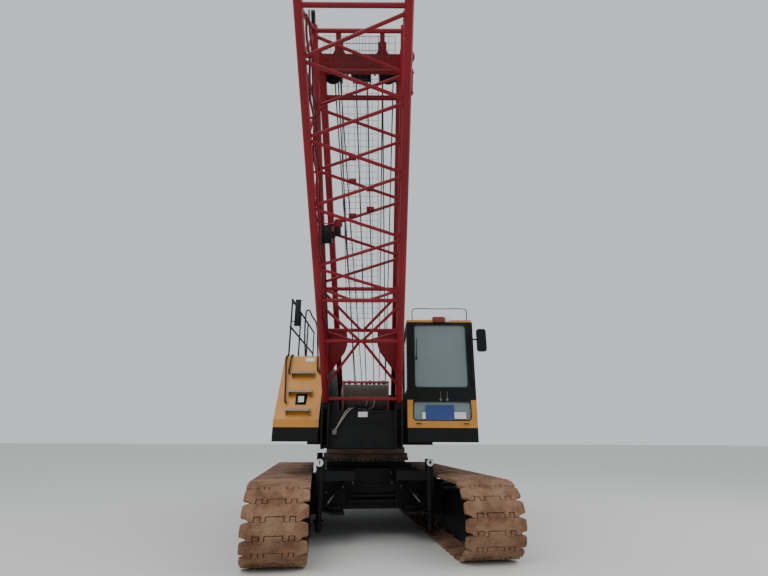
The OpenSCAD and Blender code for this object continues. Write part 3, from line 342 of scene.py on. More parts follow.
def bent_bar(points, radius, sides=3, bend=0.4):
    """Round bar along a smooth line through points, as a mesh."""
    bpy.ops.object.select_all(action="DESELECT")
    bpy.ops.curve.primitive_bezier_curve_add(location=(0, 0, 0))
    curve = bpy.context.object.data
    spline = curve.splines[0]
    spline.bezier_points.add(len(points) - 2)
    points = [Vector(point) for point in points]
    for i, (knot, point) in enumerate(zip(spline.bezier_points, points)):
        before, after = points[max(i - 1, 0)], points[min(i + 1, len(points) - 1)]
        along = (after - before).normalized()
        knot.handle_left_type = knot.handle_right_type = "FREE"
        knot.co = point
        knot.handle_left = point - along * (point - before).length * bend
        knot.handle_right = point + along * (after - point).length * bend
    curve.dimensions = "3D"
    curve.resolution_u = 6
    curve.bevel_depth = radius
    curve.bevel_resolution = sides
    curve.use_fill_caps = True
    bpy.ops.object.convert(target="MESH")
    return bpy.context.object


def apply_modifier(piece, kind, **settings):
    """Adds a modifier with its settings and applies it."""
    take(piece)
    modifier = piece.modifiers.new(kind.lower(), kind)
    for name, value in settings.items():
        setattr(modifier, name, value)
    bpy.ops.object.modifier_apply(modifier=modifier.name)


def mode(name):
    """Switches to object or edit mode."""
    bpy.ops.object.mode_set(mode=name)


def edit_all():
    """Enters edit mode with everything selected."""
    mode("EDIT")
    bpy.ops.mesh.select_all(action="SELECT")


def pick_faces(piece, wanted):
    """Selects the faces of the active piece whose centre and normal pass the test, in edit mode."""
    mode("OBJECT")
    for part in (*piece.data.edges, *piece.data.vertices):
        part.select = False
    for face in piece.data.polygons:
        face.select = wanted(face.center, face.normal)
        if face.select:
            for index in face.vertices:
                piece.data.vertices[index].select = True
    mode("EDIT")
    bpy.ops.mesh.select_mode(type="FACE")


def raise_region(shift):
    """Extrudes the selected faces by a shift."""
    bpy.ops.mesh.extrude_region_move(TRANSFORM_OT_translate={"value": shift})


def press(piece, way, *steps):
    """Insets the faces that look one way and raises them, for each rim width and height of the steps."""
    take(piece)
    pick_faces(piece, lambda center, normal: normal.dot(way) > FACING)
    for rim, height in steps:
        bpy.ops.mesh.inset(thickness=rim)
        raise_region(way * height)
    mode("OBJECT")
    return piece


def cut(piece, *cuts):
    """Cuts a piece's faces by planes, for each axis and the places of its planes."""
    take(piece)
    for axis, places in cuts:
        for place in places:
            edit_all()
            bpy.ops.mesh.bisect(plane_co=axis * place, plane_no=axis)
    mode("OBJECT")


def drawn_in(value, middle, share):
    """Value at a share of its distance from the middle."""
    return middle + (value - middle) * share


def grooved(wheel, middle, share):
    """Draws in the rim of a wheel on X, half way along its width, to a share of its radius."""
    middle = Vector(middle)
    cut(wheel, (X, [middle.x]))
    for vertex in wheel.data.vertices:
        if abs(vertex.co.x - middle.x) < NEAR:
            vertex.co.y = drawn_in(vertex.co.y, middle.y, share)
            vertex.co.z = drawn_in(vertex.co.z, middle.z, share)
    return wheel


def mirrored(piece):
    """Mirrors a piece in the plane X = 0, its faces still outwards."""
    piece.data.transform(Matrix.Diagonal((-1, 1, 1, 1)))
    piece.data.flip_normals()
    return piece


def weld(pieces):
    """Joins pieces into the first one."""
    take(*pieces)
    if len(pieces) > 1:
        bpy.ops.object.join()
    return pieces[0]


def copy_of(piece, place):
    """Copies a piece with a mesh of its own and moves that mesh."""
    twin = piece.copy()
    twin.data = piece.data.copy()
    bpy.context.collection.objects.link(twin)
    twin.data.transform(place)
    return twin


def copies(pattern, places):
    """A copy of a pattern at each place, in place of the pattern."""
    made = [copy_of(pattern, place) for place in places]
    bpy.data.objects.remove(pattern)
    return made


def settle(parts, name, body, material, soft_edge=0.003, smooth=35):
    """Joins parts, rounds their edges, moves the mesh to its place, and gives finish and body."""
    piece = weld(parts if isinstance(parts, list) else [parts])
    piece.name = name
    if soft_edge:
        apply_modifier(piece, "BEVEL", width=soft_edge, segments=2, limit_method="ANGLE")
    piece.data.transform(PLACES.get(body, TO_UPPER))
    bpy.ops.object.shade_smooth_by_angle(angle=math.radians(smooth))
    piece.data.materials.clear()
    piece.data.materials.append(material)
    if body:
        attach(piece, body)
    return piece


def hex_bolt(size):
    """Bolt head on its washer, standing on Z."""
    head = disc((0, 0, size * 0.8), size, size, 6)
    washer = disc((0, 0, size * 0.15), size * 1.45, size * 0.3, 16)
    return weld([head, washer])


# Track shoes: interlocking cast shoes with tabs, recesses and notched outer ends

SHOE_WIDTH = 0.76
TRACK_HEIGHT = 0.933
TRACK_LENGTH = 5.66
TRACK_GAUGE = 2.6
END_RADIUS = TRACK_HEIGHT / 2
TRACK_RUN = TRACK_LENGTH - TRACK_HEIGHT
LOOP_LENGTH = 2 * TRACK_RUN + 2 * math.pi * END_RADIUS
# The real pitch is 203 mm; the nearest one that fills the loop is taken
SHOE_COUNT = round(LOOP_LENGTH / 0.203)
PITCH = LOOP_LENGTH / SHOE_COUNT
# Gap between shoes, how far a tab reaches over it, and how far the tab dips
SEAM = 0.009
TAB = 0.24 * PITCH
TAB_DIP = 0.012
# Tabs across the width: from and to, as shares of the width from the middle
TABS = ((-0.3, -0.23), (-0.13, 0.13), (0.22, 0.3))
# Shares of the width from the middle where the notch of an end starts and where its edge bends
NOTCH_START, NOTCH_BEND = 0.37, 0.42
PLATE_DEPTH = 0.042
PAD_DEPTH = 0.052


def loop_point(s):
    """Point on the outer face of the track loop at distance s, in Y and Z."""
    # The lower run and the rear end, then both again turned by half a circle
    turned = -1 if s % LOOP_LENGTH >= LOOP_LENGTH / 2 else 1
    t = s % LOOP_LENGTH % (LOOP_LENGTH / 2)
    y, z = t - TRACK_RUN / 2, -END_RADIUS
    if t > TRACK_RUN:
        angle = (t - TRACK_RUN) / END_RADIUS - QUARTER
        y, z = TRACK_RUN / 2 + END_RADIUS * math.cos(angle), END_RADIUS * math.sin(angle)
    return Vector((0, turned * y, END_RADIUS + turned * z))


def notch_ends(shoe, low, high):
    """Cuts back the corners at both ends of a shoe, deeper on its low side."""
    for vertex in shoe.data.vertices:
        share = abs(vertex.co.x) / SHOE_WIDTH
        at_end = share > 0.49
        if share > NOTCH_BEND - 0.01 and vertex.co.y < low + NEAR:
            vertex.co.y += (0.24 if at_end else 0.17) * PITCH
        elif at_end and abs(vertex.co.y - high) < NEAR:
            vertex.co.y -= 0.1 * PITCH
        else:
            continue
        if at_end:
            vertex.co.x *= 0.985


def track_shoe():
    """One shoe: X across the track, Y along it, outer face on Z = 0 and looking down."""
    low, high = -PITCH / 2 + SEAM / 2, PITCH / 2 - SEAM / 2
    shoe = begin("plane", (SHOE_WIDTH, high - low + TAB, 1), size=1, location=(0, (low + high + TAB) / 2, 0))
    sides = [edge * SHOE_WIDTH for tab in TABS for edge in tab]
    for start, end in TABS:
        sides += [start * SHOE_WIDTH - SEAM, end * SHOE_WIDTH + SEAM]
    sides += [share * SHOE_WIDTH for share in (-NOTCH_BEND, -NOTCH_START, NOTCH_START, NOTCH_BEND)]
    cut(shoe, (X, sides), (Y, (low + TAB + SEAM, low + 0.5 * PITCH, high)))

    def outside(center, normal):
        """Faces between the tabs, and those in the recesses for the next shoe's tabs."""
        share = center.x / SHOE_WIDTH
        margin = SEAM / SHOE_WIDTH
        if center.y > high:
            return not any(start < share < end for start, end in TABS)
        if center.y < low + TAB + SEAM:
            return any(start - margin < share < end + margin for start, end in TABS)
        return False

    pick_faces(shoe, outside)
    bpy.ops.mesh.delete(type="FACE")
    mode("OBJECT")
    notch_ends(shoe, low, high)
    edit_all()
    raise_region((0, 0, PLATE_DEPTH))
    # Pad under the rollers
    pick_faces(shoe, lambda center, normal: center.z > PLATE_DEPTH - NEAR and abs(center.x) < 0.14
               and -0.35 * PITCH < center.y < 0.45 * PITCH)
    raise_region((0, 0, PAD_DEPTH))
    bpy.ops.mesh.select_all(action="SELECT")
    bpy.ops.mesh.dissolve_limited(angle_limit=math.radians(1))
    bpy.ops.mesh.normals_make_consistent(inside=False)
    mode("OBJECT")
    # Tabs dip under the seam, so that they stay on the loop round the ends
    for vertex in shoe.data.vertices:
        if vertex.co.y > high + NEAR:
            vertex.co.z += TAB_DIP
    apply_modifier(shoe, "BEVEL", width=0.006, segments=1, limit_method="ANGLE")
    # Lugs that pin the shoe to its neighbours close the loop behind the seams
    lugs = block((-0.36 * SHOE_WIDTH, low - 0.016, 0.04), (0.36 * SHOE_WIDTH, high + 0.016, 0.06))
    return weld([shoe, lugs])


def shoe_place(side, i):
    """Place of shoe i on the loop of a track, sunk by 3 mm."""
    first, last = loop_point((i + 0.04) * PITCH), loop_point((i + 0.96) * PITCH)
    # Tabs point back along the loop, which is upwards at the front end
    along = (first - last).normalized()
    middle = (first + last) / 2 + X * side * TRACK_GAUGE / 2
    turn = Matrix((-X, along, (-X).cross(along))).transposed().to_4x4()
    # A cast shoe lies a little unevenly on its neighbours
    wobble = Matrix.Rotation(math.radians(0.5 * math.sin(i * 2.4 + side)), 4, "X")
    return Matrix.Translation(middle) @ turn @ at(0, 0, 0.003) @ wobble


def track(side, name):
    """All shoes of one track, laid along the loop."""
    shoes = copies(track_shoe(), [shoe_place(side, i) for i in range(SHOE_COUNT)])
    return settle(shoes, name, "undercarriage", SHOES, 0, 30)


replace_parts(track(-1, "track_shoes_left"), "track_left")
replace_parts(track(1, "track_shoes_right"), "track_right")


# Boom: walkway mesh, rope rollers, cable reel, hose and cable along the left chords, links

# Depth of the boom's rear face, and the slope of its front face
REAR_FACE = 0.175
FRONT_TAPER = math.tan(math.radians(9.8))


def front_face(s):
    """Depth of the boom's front face at height s."""
    return -s * FRONT_TAPER


def mesh_panel(half_width, s0, s1, depth, cells):
    """Welded wire mesh with cells of about 80 mm between two heights of the boom."""
    panel = begin("grid", (2 * half_width, s1 - s0, 1), x_subdivisions=cells[0], y_subdivisions=cells[1],
                  size=1, location=(0, depth, (s0 + s1) / 2), rotation=ALONG_Y)
    apply_modifier(panel, "WIREFRAME", thickness=0.006, use_boundary=True, use_even_offset=False)
    return panel


def walkway():
    """Walkway of wire mesh on two flat bars, wider at the head of the section."""
    # Behind the rear lacing, whose tubes have a radius of 26 mm
    depth = REAR_FACE + 0.026 + 0.008
    parts = [mesh_panel(0.225, 1.31, 4.93, depth, (6, 46)),
             mesh_panel(0.43, 4.56, 4.93, depth + 0.006, (11, 5))]
    for x in (-0.225, 0.225):
        parts.append(block((x - 0.004, depth - 0.006, 1.3), (x + 0.004, depth + 0.006, 4.94)))
    return settle(parts, "boom_walkway_mesh", "boom", MESH, 0)


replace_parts(walkway(), "boom_walkway")


def rope_roller():
    """Guide roller for a rope: grooved wheel between two cheeks on a foot, standing on Z."""
    height = 0.055
    wheel = grooved(disc((0, 0, height), 0.03, 0.04, 24, ALONG_X), (0, 0, height), 0.7)
    cheeks = [block((x - 0.004, -0.028, 0.0), (x + 0.004, 0.028, 0.085)) for x in (-0.03, 0.03)]
    foot = block((-0.05, -0.032, -0.006), (0.05, 0.032, 0.004))
    pin = rod((-0.042, 0, height), (0.042, 0, height), 0.009)
    return weld([wheel, foot, pin] + cheeks)


def rope_rollers():
    """Five guide rollers on the rear lacing of the boom."""
    spots = ((-0.105, 3.53), (-0.109, 3.24), (0.122, 3.14), (0.121, 2.88), (-0.117, 2.79))
    rollers = copies(rope_roller(), [at(x, REAR_FACE + 0.02, s) @ FACE_UP_TO_FRONT for x, s in spots])
    settle(rollers, "boom_rope_rollers", "boom", RED, 0.002)


rope_rollers()


def cable_reel():
    """Cable reel of the boom's angle sensor, with its red bracket on the left front chord."""
    y, s = 0.1, 2.545
    rims = [rod((x, y, s), (x + 0.008, y, s), 0.132, 40) for x in (-0.506, -0.394)]
    core = rod((-0.498, y, s), (-0.394, y, s), 0.07, 32)
    turns = [hoop((-0.49 + 0.011 * i, y, s), 0.112, 0.0055, (40, 8), ALONG_X) for i in range(9)]
    hub = rod((-0.394, y, s), (-0.352, y, s), 0.045, 24)
    settle(rims + [core, hub] + turns, "boom_cable_reel", "boom", RUBBER, 0.0015)
    plate = block((-0.352, y - 0.045, 2.5), (-0.344, y + 0.045, 2.73))
    shelf = block((-0.352, y - 0.045, 2.66), (-0.246, y + 0.045, 2.668))
    junction = block((-0.342, y - 0.04, 2.668), (-0.25, y + 0.04, 2.757))
    strap = block((-0.56, y - 0.02, 2.694), (-0.344, y + 0.02, 2.702))
    settle([plate, shelf, junction, strap], "boom_reel_bracket", "boom", RED, 0.002)
    motor = block((-0.342, y - 0.03, 2.53), (-0.268, y + 0.03, 2.658))
    settle(motor, "boom_reel_motor", "boom", RUBBER, 0.006)


cable_reel()


def boom_cable():
    """Hose and cable clipped inside the left chords, in shallow waves between the clips."""
    points = []
    for i in range(22):
        s = 0.9 + i * 0.192
        points.append((-0.478 + 0.012 * math.sin(i * 2.1), 0.9 * front_face(s) + 0.03 * math.sin(i * 1.3), s))
    settle(bent_bar(points, 0.013), "boom_hose", "boom", RED, 0)
    beside = [(x + 0.03, y + 0.05 * math.cos(i), s + 0.03) for i, (x, y, s) in enumerate(points)]
    settle(bent_bar(beside, 0.008), "boom_cable", "boom", RUBBER, 0)
    clips = [block((x - 0.045, y - 0.02, s - 0.012), (x + 0.045, y - 0.012, s + 0.012))
             for x, y, s in points[1::3]]
    settle(clips, "boom_hose_clips", "boom", RED, 0.002)


boom_cable()


def chord_links():
    """Short links that hang on pins at the outer side of the right chord."""
    parts = []
    for s0, s1 in ((4.505, 4.59), (4.19, 4.44)):
        y = front_face((s0 + s1) / 2) + 0.03
        parts.append(block((0.564, y - 0.026, s0), (0.598, y + 0.026, s1)))
        parts += [rod((0.56, y, s), (0.608, y, s), 0.012) for s in (s1 - 0.03, s0 + 0.03)]
    settle(parts, "boom_side_links", "boom", RED)


chord_links()


# Ropes: the luffing ropes between mast head and rear bail, and the windings on the drums

# Axis of the mast head's sheaves, as depth and height on the mast, and their radius in the groove
HEAD_DEPTH, HEAD_HEIGHT, HEAD_RADIUS = 0.23, 6.2, 0.142
BAIL = Vector((0, 2.56, 2.6))
BAIL_RADIUS = 0.15
# Grooves of head and bail as places across, and the side of the sheaves on which the rope runs
ROPE_PARTS = (
    (-0.385, -0.365, 1), (-0.311, -0.365, -1), (-0.311, -0.21, 1), (-0.074, -0.09, -1),
    (0.074, 0.09, -1), (0.276, 0.21, 1), (0.276, 0.365, -1), (0.424, 0.365, 1),
)


def luffing_ropes():
    """Eight parts of the luffing rope; the boom's pull keeps them straight."""
    head = TO_UPPER.inverted() @ TO_MAST @ Vector((0, HEAD_DEPTH, HEAD_HEIGHT))
    run = (BAIL - head).normalized()
    outward = X.cross(run)
    for i, (head_x, bail_x, side) in enumerate(ROPE_PARTS, 1):
        start = head + X * head_x + outward * HEAD_RADIUS * side
        end = BAIL + X * bail_x + outward * BAIL_RADIUS * side
        # Rings of points only at its ends, so that the rope stays straight in every pose
        rope = rod(start, end, 0.009, 12)
        pick_faces(rope, lambda center, normal: abs(normal.dot(run)) > FACING)
        bpy.ops.mesh.inset(thickness=0.002)
        bpy.ops.mesh.extrude_region_shrink_fatten(TRANSFORM_OT_shrink_fatten={"value": 0.006})
        mode("OBJECT")
        settle(rope, f"luffing_rope_{i}", None, WIRE_ROPE, 0)
        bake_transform(rope)


luffing_ropes()


def bail_sheaves():
    """Two outer sheaves at the ends of the bail's pin."""
    middles = [(x, BAIL.y, BAIL.z) for x in (-0.365, 0.365)]
    sheaves = [grooved(disc(middle, 0.158, 0.05, 48, ALONG_X), middle, 0.88) for middle in middles]
    settle(sheaves, "bail_sheaves", "upper", BLACK_PAINT, 0.002)


bail_sheaves()


def sheave_guards():
    """Rounded guard plates between the head beam of the mast and its three groups of sheaves."""
    plates = []
    for x in (-0.38, -0.022, 0.345):
        plates.append(press(disc((x, 0.0765, 6.175), 0.117, 0.007, 48, ALONG_Y), -Y, (0.012, -0.003)))
    settle(plates, "mast_sheave_guards", "mast", BLACK_PAINT, 0.001)


sheave_guards()

# Height of the drums' axes, and the distance from turn to turn
DRUM_HEIGHT = 2.08
ROPE_PITCH = 0.0236
# Place of each drum along the upper, and the radius of its top layer of rope
DRUMS = {"front": (-0.42, 0.262), "rear": (0.48, 0.246), "luffing": (1.5, 0.238)}


def drum_winding(name):
    """Wire rope on a drum, turn beside turn, over a filler for the layers below."""
    y, radius = DRUMS[name]
    turn = hoop((0, y, DRUM_HEIGHT), radius, 0.0115, (48, 8), ALONG_X, (1, 1, 0.92))
    turns = copies(turn, [at(-0.366 + ROPE_PITCH * i, 0, 0) for i in range(32)])
    filler = rod((-0.376, y, DRUM_HEIGHT), (0.376, y, DRUM_HEIGHT), radius - 0.002, 48)
    settle([filler] + turns, f"{name}_drum_rope", f"drum_{name}", DRUM_ROPE, 0)


for drum in DRUMS:
    drum_winding(drum)


def drum_guard():
    """Roller bar with three collars over the front drum, its two posts on the frame."""
    y, z = -0.8, 2.345
    bar = rod((-0.37, y, z), (0.4, y, z), 0.022, 20)
    posts = [block((x - 0.01, y - 0.02, 1.592), (x + 0.01, y + 0.02, z + 0.025)) for x in (-0.365, 0.395)]
    feet = [block((x - 0.035, y - 0.04, 1.5905), (x + 0.035, y + 0.04, 1.6)) for x in (-0.365, 0.395)]
    collars = [rod((x, y, z), (x + 0.045, y, z), 0.034, 20) for x in (-0.29, 0.06, 0.28)]
    settle([bar] + posts + feet + collars, "front_drum_bar", "upper", PINK)


drum_guard()


# Two falls of the hoist rope: over the frame, down the front plate, to the anchor
HOIST_ROPES = {
    "hoist_rope_end": (
        (0.02, -0.69, 2.09), (0.03, -0.8, 1.99), (-0.05, -1.15, 1.87), (-0.16, -1.5, 1.868),
        (-0.22, -1.665, 1.845), (-0.3, -1.7, 1.72), (-0.385, -1.695, 1.56), (-0.4, -1.695, 1.52)),
    "hoist_rope_slack": (
        (0.16, -0.685, 2.11), (0.15, -0.81, 1.96), (0.06, -1.15, 1.872), (-0.1, -1.48, 1.866),
        (-0.17, -1.69, 1.85), (-0.25, -1.712, 1.76), (-0.36, -1.706, 1.6), (-0.405, -1.7, 1.53)),
}


def hoist_rope_end():
    """End of the hoist rope, drawn from the drum over the frame to its anchor on the front plate."""
    for name, points in HOIST_ROPES.items():
        settle(bent_bar(points, 0.01), name, "upper", TREAD, 0)
    anchor = block((-0.43, -1.715, 1.49), (-0.37, -1.681, 1.54))
    eye = hoop((-0.4, -1.697, 1.535), 0.03, 0.008, (48, 12), ALONG_Y)
    settle([anchor, eye], "hoist_rope_anchor", "upper", WORN)


hoist_rope_end()


# Undercarriage: number discs, hydraulic cylinders, arms, hoses and bolts

# Foremost line of the front jacks' tubes, whose axes are at Y -1.500 and whose radius is 68 mm
JACK_FRONT = -1.568
NUMBER_HEIGHT = 1.105


def number_disc(x, digit, name):
    """White disc with a plain number, on a clamp at the top of a front jack."""
    plate = disc((x, JACK_FRONT - 0.012, NUMBER_HEIGHT), 0.052, 0.006, 40, ALONG_Y)
    settle(press(plate, -Y, (0.006, -0.0015)), name, "undercarriage", WHITE_ENAMEL, 0.001)
    bpy.ops.object.select_all(action="DESELECT")
    bpy.ops.object.text_add(location=(0, 0, 0))
    figure = bpy.context.object.data
    figure.body = digit
    figure.size = 0.085
    figure.offset = 0.003
    figure.align_x = "CENTER"
    figure.align_y = "CENTER"
    figure.extrude = 0.001
    bpy.ops.object.convert(target="MESH")
    figure = bpy.context.object
    figure.data.transform(at(x, JACK_FRONT - 0.015, NUMBER_HEIGHT) @ FACE_UP_TO_FRONT)
    settle(figure, name + "_figure", "undercarriage", RUBBER, 0)
    clamp = block((x - 0.02, JACK_FRONT - 0.01, 1.06), (x + 0.02, JACK_FRONT + 0.012, 1.15))
    settle(clamp, name + "_clamp", "undercarriage", BLACK_PAINT, 0.002)


number_disc(-0.82, "1", "number_disc_left")
number_disc(0.8, "4", "number_disc_right")


def swing_cylinder(side, name):
    """Small hydraulic cylinder from the carbody down to the foot of a front jack's tube."""
    top, foot = Vector((side * 0.4, -1.15, 0.9)), Vector((side * 0.7, -1.42, 0.52))
    along = (foot - top).normalized()
    barrel = rod(top + along * 0.05, top + along * 0.33, 0.032, 24)
    gland = rod(top + along * 0.32, top + along * 0.35, 0.038, 24)
    stem = rod(top + along * 0.34, foot - along * 0.02, 0.016)
    ends = [rod(p - X * 0.024, p + X * 0.024, 0.034, 24) for p in (top, foot)]
    neck = rod(top, top + along * 0.06, 0.022)
    settle([barrel, gland, neck] + ends, name, "undercarriage", BLACK_PAINT, 0.002)
    settle(stem, name + "_rod", "undercarriage", WORN, 0.001)
    seats = []
    for x, y0, y1, z0, z1 in ((top.x, -1.16, -1.085, 0.86, 0.96), (foot.x, -1.47, -1.39, 0.486, 0.56)):
        for inner, outer in ((-0.034, -0.026), (0.026, 0.034)):
            seats.append(block((x + inner, y0, z0), (x + outer, y1, z1)))
    settle(seats, name + "_seats", "undercarriage", BLACK_PAINT, 0.002)


swing_cylinder(-1, "swing_cylinder_left")
swing_cylinder(1, "swing_cylinder_right")


def lower_arm(side, name):
    """Bent plate arm under the front axle beam, out to the foot of a jack's tube."""
    arm = block((0.44, -1.5, 0.405), (0.76, -1.09, 0.435))
    cut(arm, (X, [0.6]))
    for vertex in arm.data.vertices:
        if vertex.co.x > 0.7:
            vertex.co.z += 0.048
            vertex.co.y = drawn_in(vertex.co.y, -1.47, 0.35)
        if vertex.co.x < 0.5:
            vertex.co.y += 0.03
    rib = block((0.47, -1.3, 0.434), (0.74, -1.288, 0.49))
    foot = block((0.73, -1.56, 0.462), (0.868, -1.44, 0.479))
    arm = weld([arm, rib, foot])
    settle(mirrored(arm) if side < 0 else arm, name, "undercarriage", BLACK_PAINT)


lower_arm(-1, "lower_arm_left")
lower_arm(1, "lower_arm_right")

# Hoses on the front axle beam: X from and to, height from and to, and the sag between
AXLE_HOSES = (
    (-0.62, -0.3, 0.86, 0.93, 0.1), (0.3, 0.62, 0.94, 0.84, 0.12), (-0.3, 0.3, 0.8, 0.79, 0.04),
    (0.45, 0.7, 0.74, 0.62, 0.07), (-0.7, -0.45, 0.66, 0.74, 0.08),
)


def under_hoses():
    """Hydraulic hoses on the front of the axle beam, each with a union at both ends."""
    for i, (x0, x1, z0, z1, sag) in enumerate(AXLE_HOSES, 1):
        points = []
        for t in (k / 12 for k in range(13)):
            swell = math.sin(math.pi * t)
            points.append((x0 + (x1 - x0) * t, -1.1 - 0.05 * swell, z0 + (z1 - z0) * t - sag * swell))
        settle(bent_bar(points, 0.012), f"axle_hose_{i}", "undercarriage", RUBBER, 0)
        unions = [rod((x, -1.086, z), (x, -1.112, z), 0.018, 6) for x, _, z in (points[0], points[-1])]
        settle(unions, f"axle_hose_unions_{i}", "undercarriage", WORN, 0.001)


under_hoses()

# Outer face of the front plate, with a gap for bolts and plates that lie on it
PLATE_FRONT = -1.6825


def bolt_circle(count, radius):
    """Points on a circle, as places across and up."""
    angles = [2 * math.pi * i / count for i in range(count)]
    return [(radius * math.cos(angle), radius * math.sin(angle)) for angle in angles]


def ring_bolts():
    """Bolts on the flange under the toothed ring and on the front of the revolving frame."""
    ring = copies(hex_bolt(0.015), [at(x, y, 1.19) for x, y in bolt_circle(48, 0.655)])
    settle(ring, "ring_bolts", "undercarriage", GREASE_WITH_PAINTED_LIGHT, 0)
    spots = [(x, 1.345) for x in (-0.44, -0.22, 0.0, 0.22, 0.44)]
    spots += [(x, 1.79) for x in (-0.44, -0.22, 0.22, 0.44)]
    plate = copies(hex_bolt(0.015), [at(x, PLATE_FRONT, z) @ FACE_UP_TO_FRONT for x, z in spots])
    settle(plate, "front_plate_bolts", "upper", BLACK_PAINT, 0)


ring_bolts()


def track_frame_hubs():
    """Hub covers with bolts at both ends of each track frame, on its outer and inner cheek."""
    hubs, spots = [], []
    for side, face, end in ((a, b, c) for a in (-1, 1) for b in (-1, 1) for c in (-1, 1)):
        x, y = side * TRACK_GAUGE / 2 + face * 0.2, end * TRACK_RUN / 2
        hub = disc((x + face * 0.02, y, END_RADIUS), 0.15, 0.04, 40, ALONG_X)
        hubs.append(press(hub, X * face, (0.045, 0.028), (0.02, -0.008)))
        outward = Matrix.Rotation(face * QUARTER, 4, "Y")
        for dy, dz in bolt_circle(10, 0.128):
            spots.append(at(x + face * 0.04, y + dy, END_RADIUS + dz) @ outward)
    settle(hubs + copies(hex_bolt(0.016), spots), "track_hubs", "undercarriage", BLACK_PAINT, 0)


track_frame_hubs()


# Cab: light bar lens, mirror glass, wipers, seals, rails, handles, blank signs, door pane and seat

# Inner and outer side, roof and front face of the cab
CAB_IN, CAB_OUT, CAB_TOP, FRONT = 0.669, 1.701, 3.216, -1.69


def light_bar_lens():
    """Ribbed orange-red lens of the light bar at the roof's front edge, with a clear end."""
    low = Vector((CAB_IN + 0.41, FRONT - 0.04, CAB_TOP - 0.04))
    high = Vector((CAB_IN + 0.61, FRONT + 0.228, CAB_TOP + 0.05))
    ribs = 12
    lens = block(low, high)
    cut(lens, (X, [low.x + (high.x - low.x) * i / ribs for i in range(1, ribs)]))
    # The ends are drawn in most, and every other line between ribs a little
    for vertex in lens.data.vertices:
        step = round((vertex.co.x - low.x) / (high.x - low.x) * ribs)
        share = 0.6 if step in (0, ribs) else 0.94 if step % 2 else 1
        vertex.co.y = drawn_in(vertex.co.y, (low.y + high.y) / 2, share)
    settle(lens, "light_bar_lens", "upper", AMBER, 0.012, 40)
    clear = block((high.x - 0.004, low.y + 0.01, low.z + 0.008), (high.x + 0.068, high.y, high.z - 0.006))
    settle(clear, "light_bar_clear_end", "upper", LENS, 0.014, 40)


light_bar_lens()


def mirror_glass():
    """Silvered glass in a rim, on the rear side of the mirror's shell."""
    glass = block((CAB_OUT + 0.052, FRONT - 0.078, 2.72), (CAB_OUT + 0.168, FRONT - 0.074, 3.033))
    settle(press(glass, Y, (0.006, -0.001)), "mirror_glass", "upper", CHROME, 0.002)


mirror_glass()


def wiper(x, z, length, lean, name, finish=RUBBER):
    """Wiper on the front glass: spindle cap, arm and blade, leaning by degrees to the right."""
    spindle = Vector((x, FRONT - 0.012, z))
    reach = Vector((math.sin(math.radians(lean)), 0, math.cos(math.radians(lean)))) * length
    tip = spindle + reach
    arm = rod(spindle - Y * 0.004, tip - Y * 0.004, 0.006, 10)
    cap = disc(spindle, 0.02, 0.026, 24, ALONG_Y)
    blade = rod(tip - reach * 0.55, tip + reach * 0.55, 0.0055, 6)
    settle([arm, cap, blade], name, "upper", finish, 0.001)


wiper(1.167, 1.99, 0.08, -1, "wiper_left", WORN)
wiper(1.261, 1.99, 0.08, 1, "wiper_right", WORN)
wiper(0.816, 2.61, 0.2, 1, "wiper_parked")


def screen_seal(x0, x1, z0, z1, name):
    """Rubber seal round a pane of the cab's front, with round corners."""
    points, corner = [], 0.045
    left, right, lower, upper = x0 + corner, x1 - corner, z0 + corner, z1 - corner
    for x, z, start in ((right, upper, 0), (left, upper, 90), (left, lower, 180), (right, lower, 270)):
        for angle in (math.radians(start + 30 * k) for k in range(4)):
            points.append((x + corner * math.cos(angle), FRONT + 0.001, z + corner * math.sin(angle)))
    settle(bent_bar(points + points[:1], 0.008, 2, 0.3), name, "upper", RUBBER, 0)


screen_seal(0.784, 1.591, 2.17, 3.136, "screen_seal")
screen_seal(0.758, 1.612, 1.697, 1.962, "lower_screen_seal")


def cab_rails():
    """Handrail at the front corner and rail round the front of the roof."""
    x, y = CAB_OUT - 0.045, FRONT - 0.05
    corner = [(x, FRONT - 0.001, 2.22), (x, y, 2.24), (x, y, 2.4), (x, y, 2.8), (x, y, 2.96),
              (x, FRONT - 0.001, 2.98)]
    settle(bent_bar(corner, 0.011), "cab_rail", "upper", BLACK_PAINT, 0)
    # Place across and height over the roof
    roof = ((0.776, -0.002), (0.776, 0.12), (0.778, 0.22), (0.81, 0.25), (1.2, 0.25), (1.63, 0.25),
            (1.664, 0.22), (1.666, 0.12), (1.666, -0.002))
    points = [(x, -1.45, CAB_TOP + height) for x, height in roof]
    settle(bent_bar(points, 0.007), "cab_roof_rail", "upper", BLACK_PAINT, 0)


def cab_handles():
    """Two small handles on the nose and the paddle handle of the door."""
    # Place across from the handle's middle, and depth before the nose
    shape = ((-0.03, 0.001), (-0.03, 0.026), (0, 0.03), (0.03, 0.026), (0.03, 0.001))
    for i, x in enumerate((0.835, 1.535), 1):
        points = [(x + across, FRONT - depth, 1.648) for across, depth in shape]
        settle(bent_bar(points, 0.007), f"nose_handle_{i}", "upper", RUBBER, 0)
    plate = block((CAB_OUT - 0.001, -1.56, 1.96), (CAB_OUT + 0.008, -1.47, 2.08))
    lever = block((CAB_OUT + 0.006, -1.55, 2.01), (CAB_OUT + 0.026, -1.4, 2.04))
    settle([plate, lever], "cab_door_handle", "cab_door", RUBBER, 0.004)


# Blank plates on the lower screen: name, finish, X from and to, Z from and to
SCREEN_SIGNS = (
    ("screen_sign", BLUE_ENAMEL, 0.937, 1.36, 1.7, 1.912),
    ("screen_sheet_left", WHITE_ENAMEL, 0.886, 0.935, 1.715, 1.811),
    ("screen_sheet_right", WHITE_ENAMEL, 1.362, 1.536, 1.718, 1.813),
)


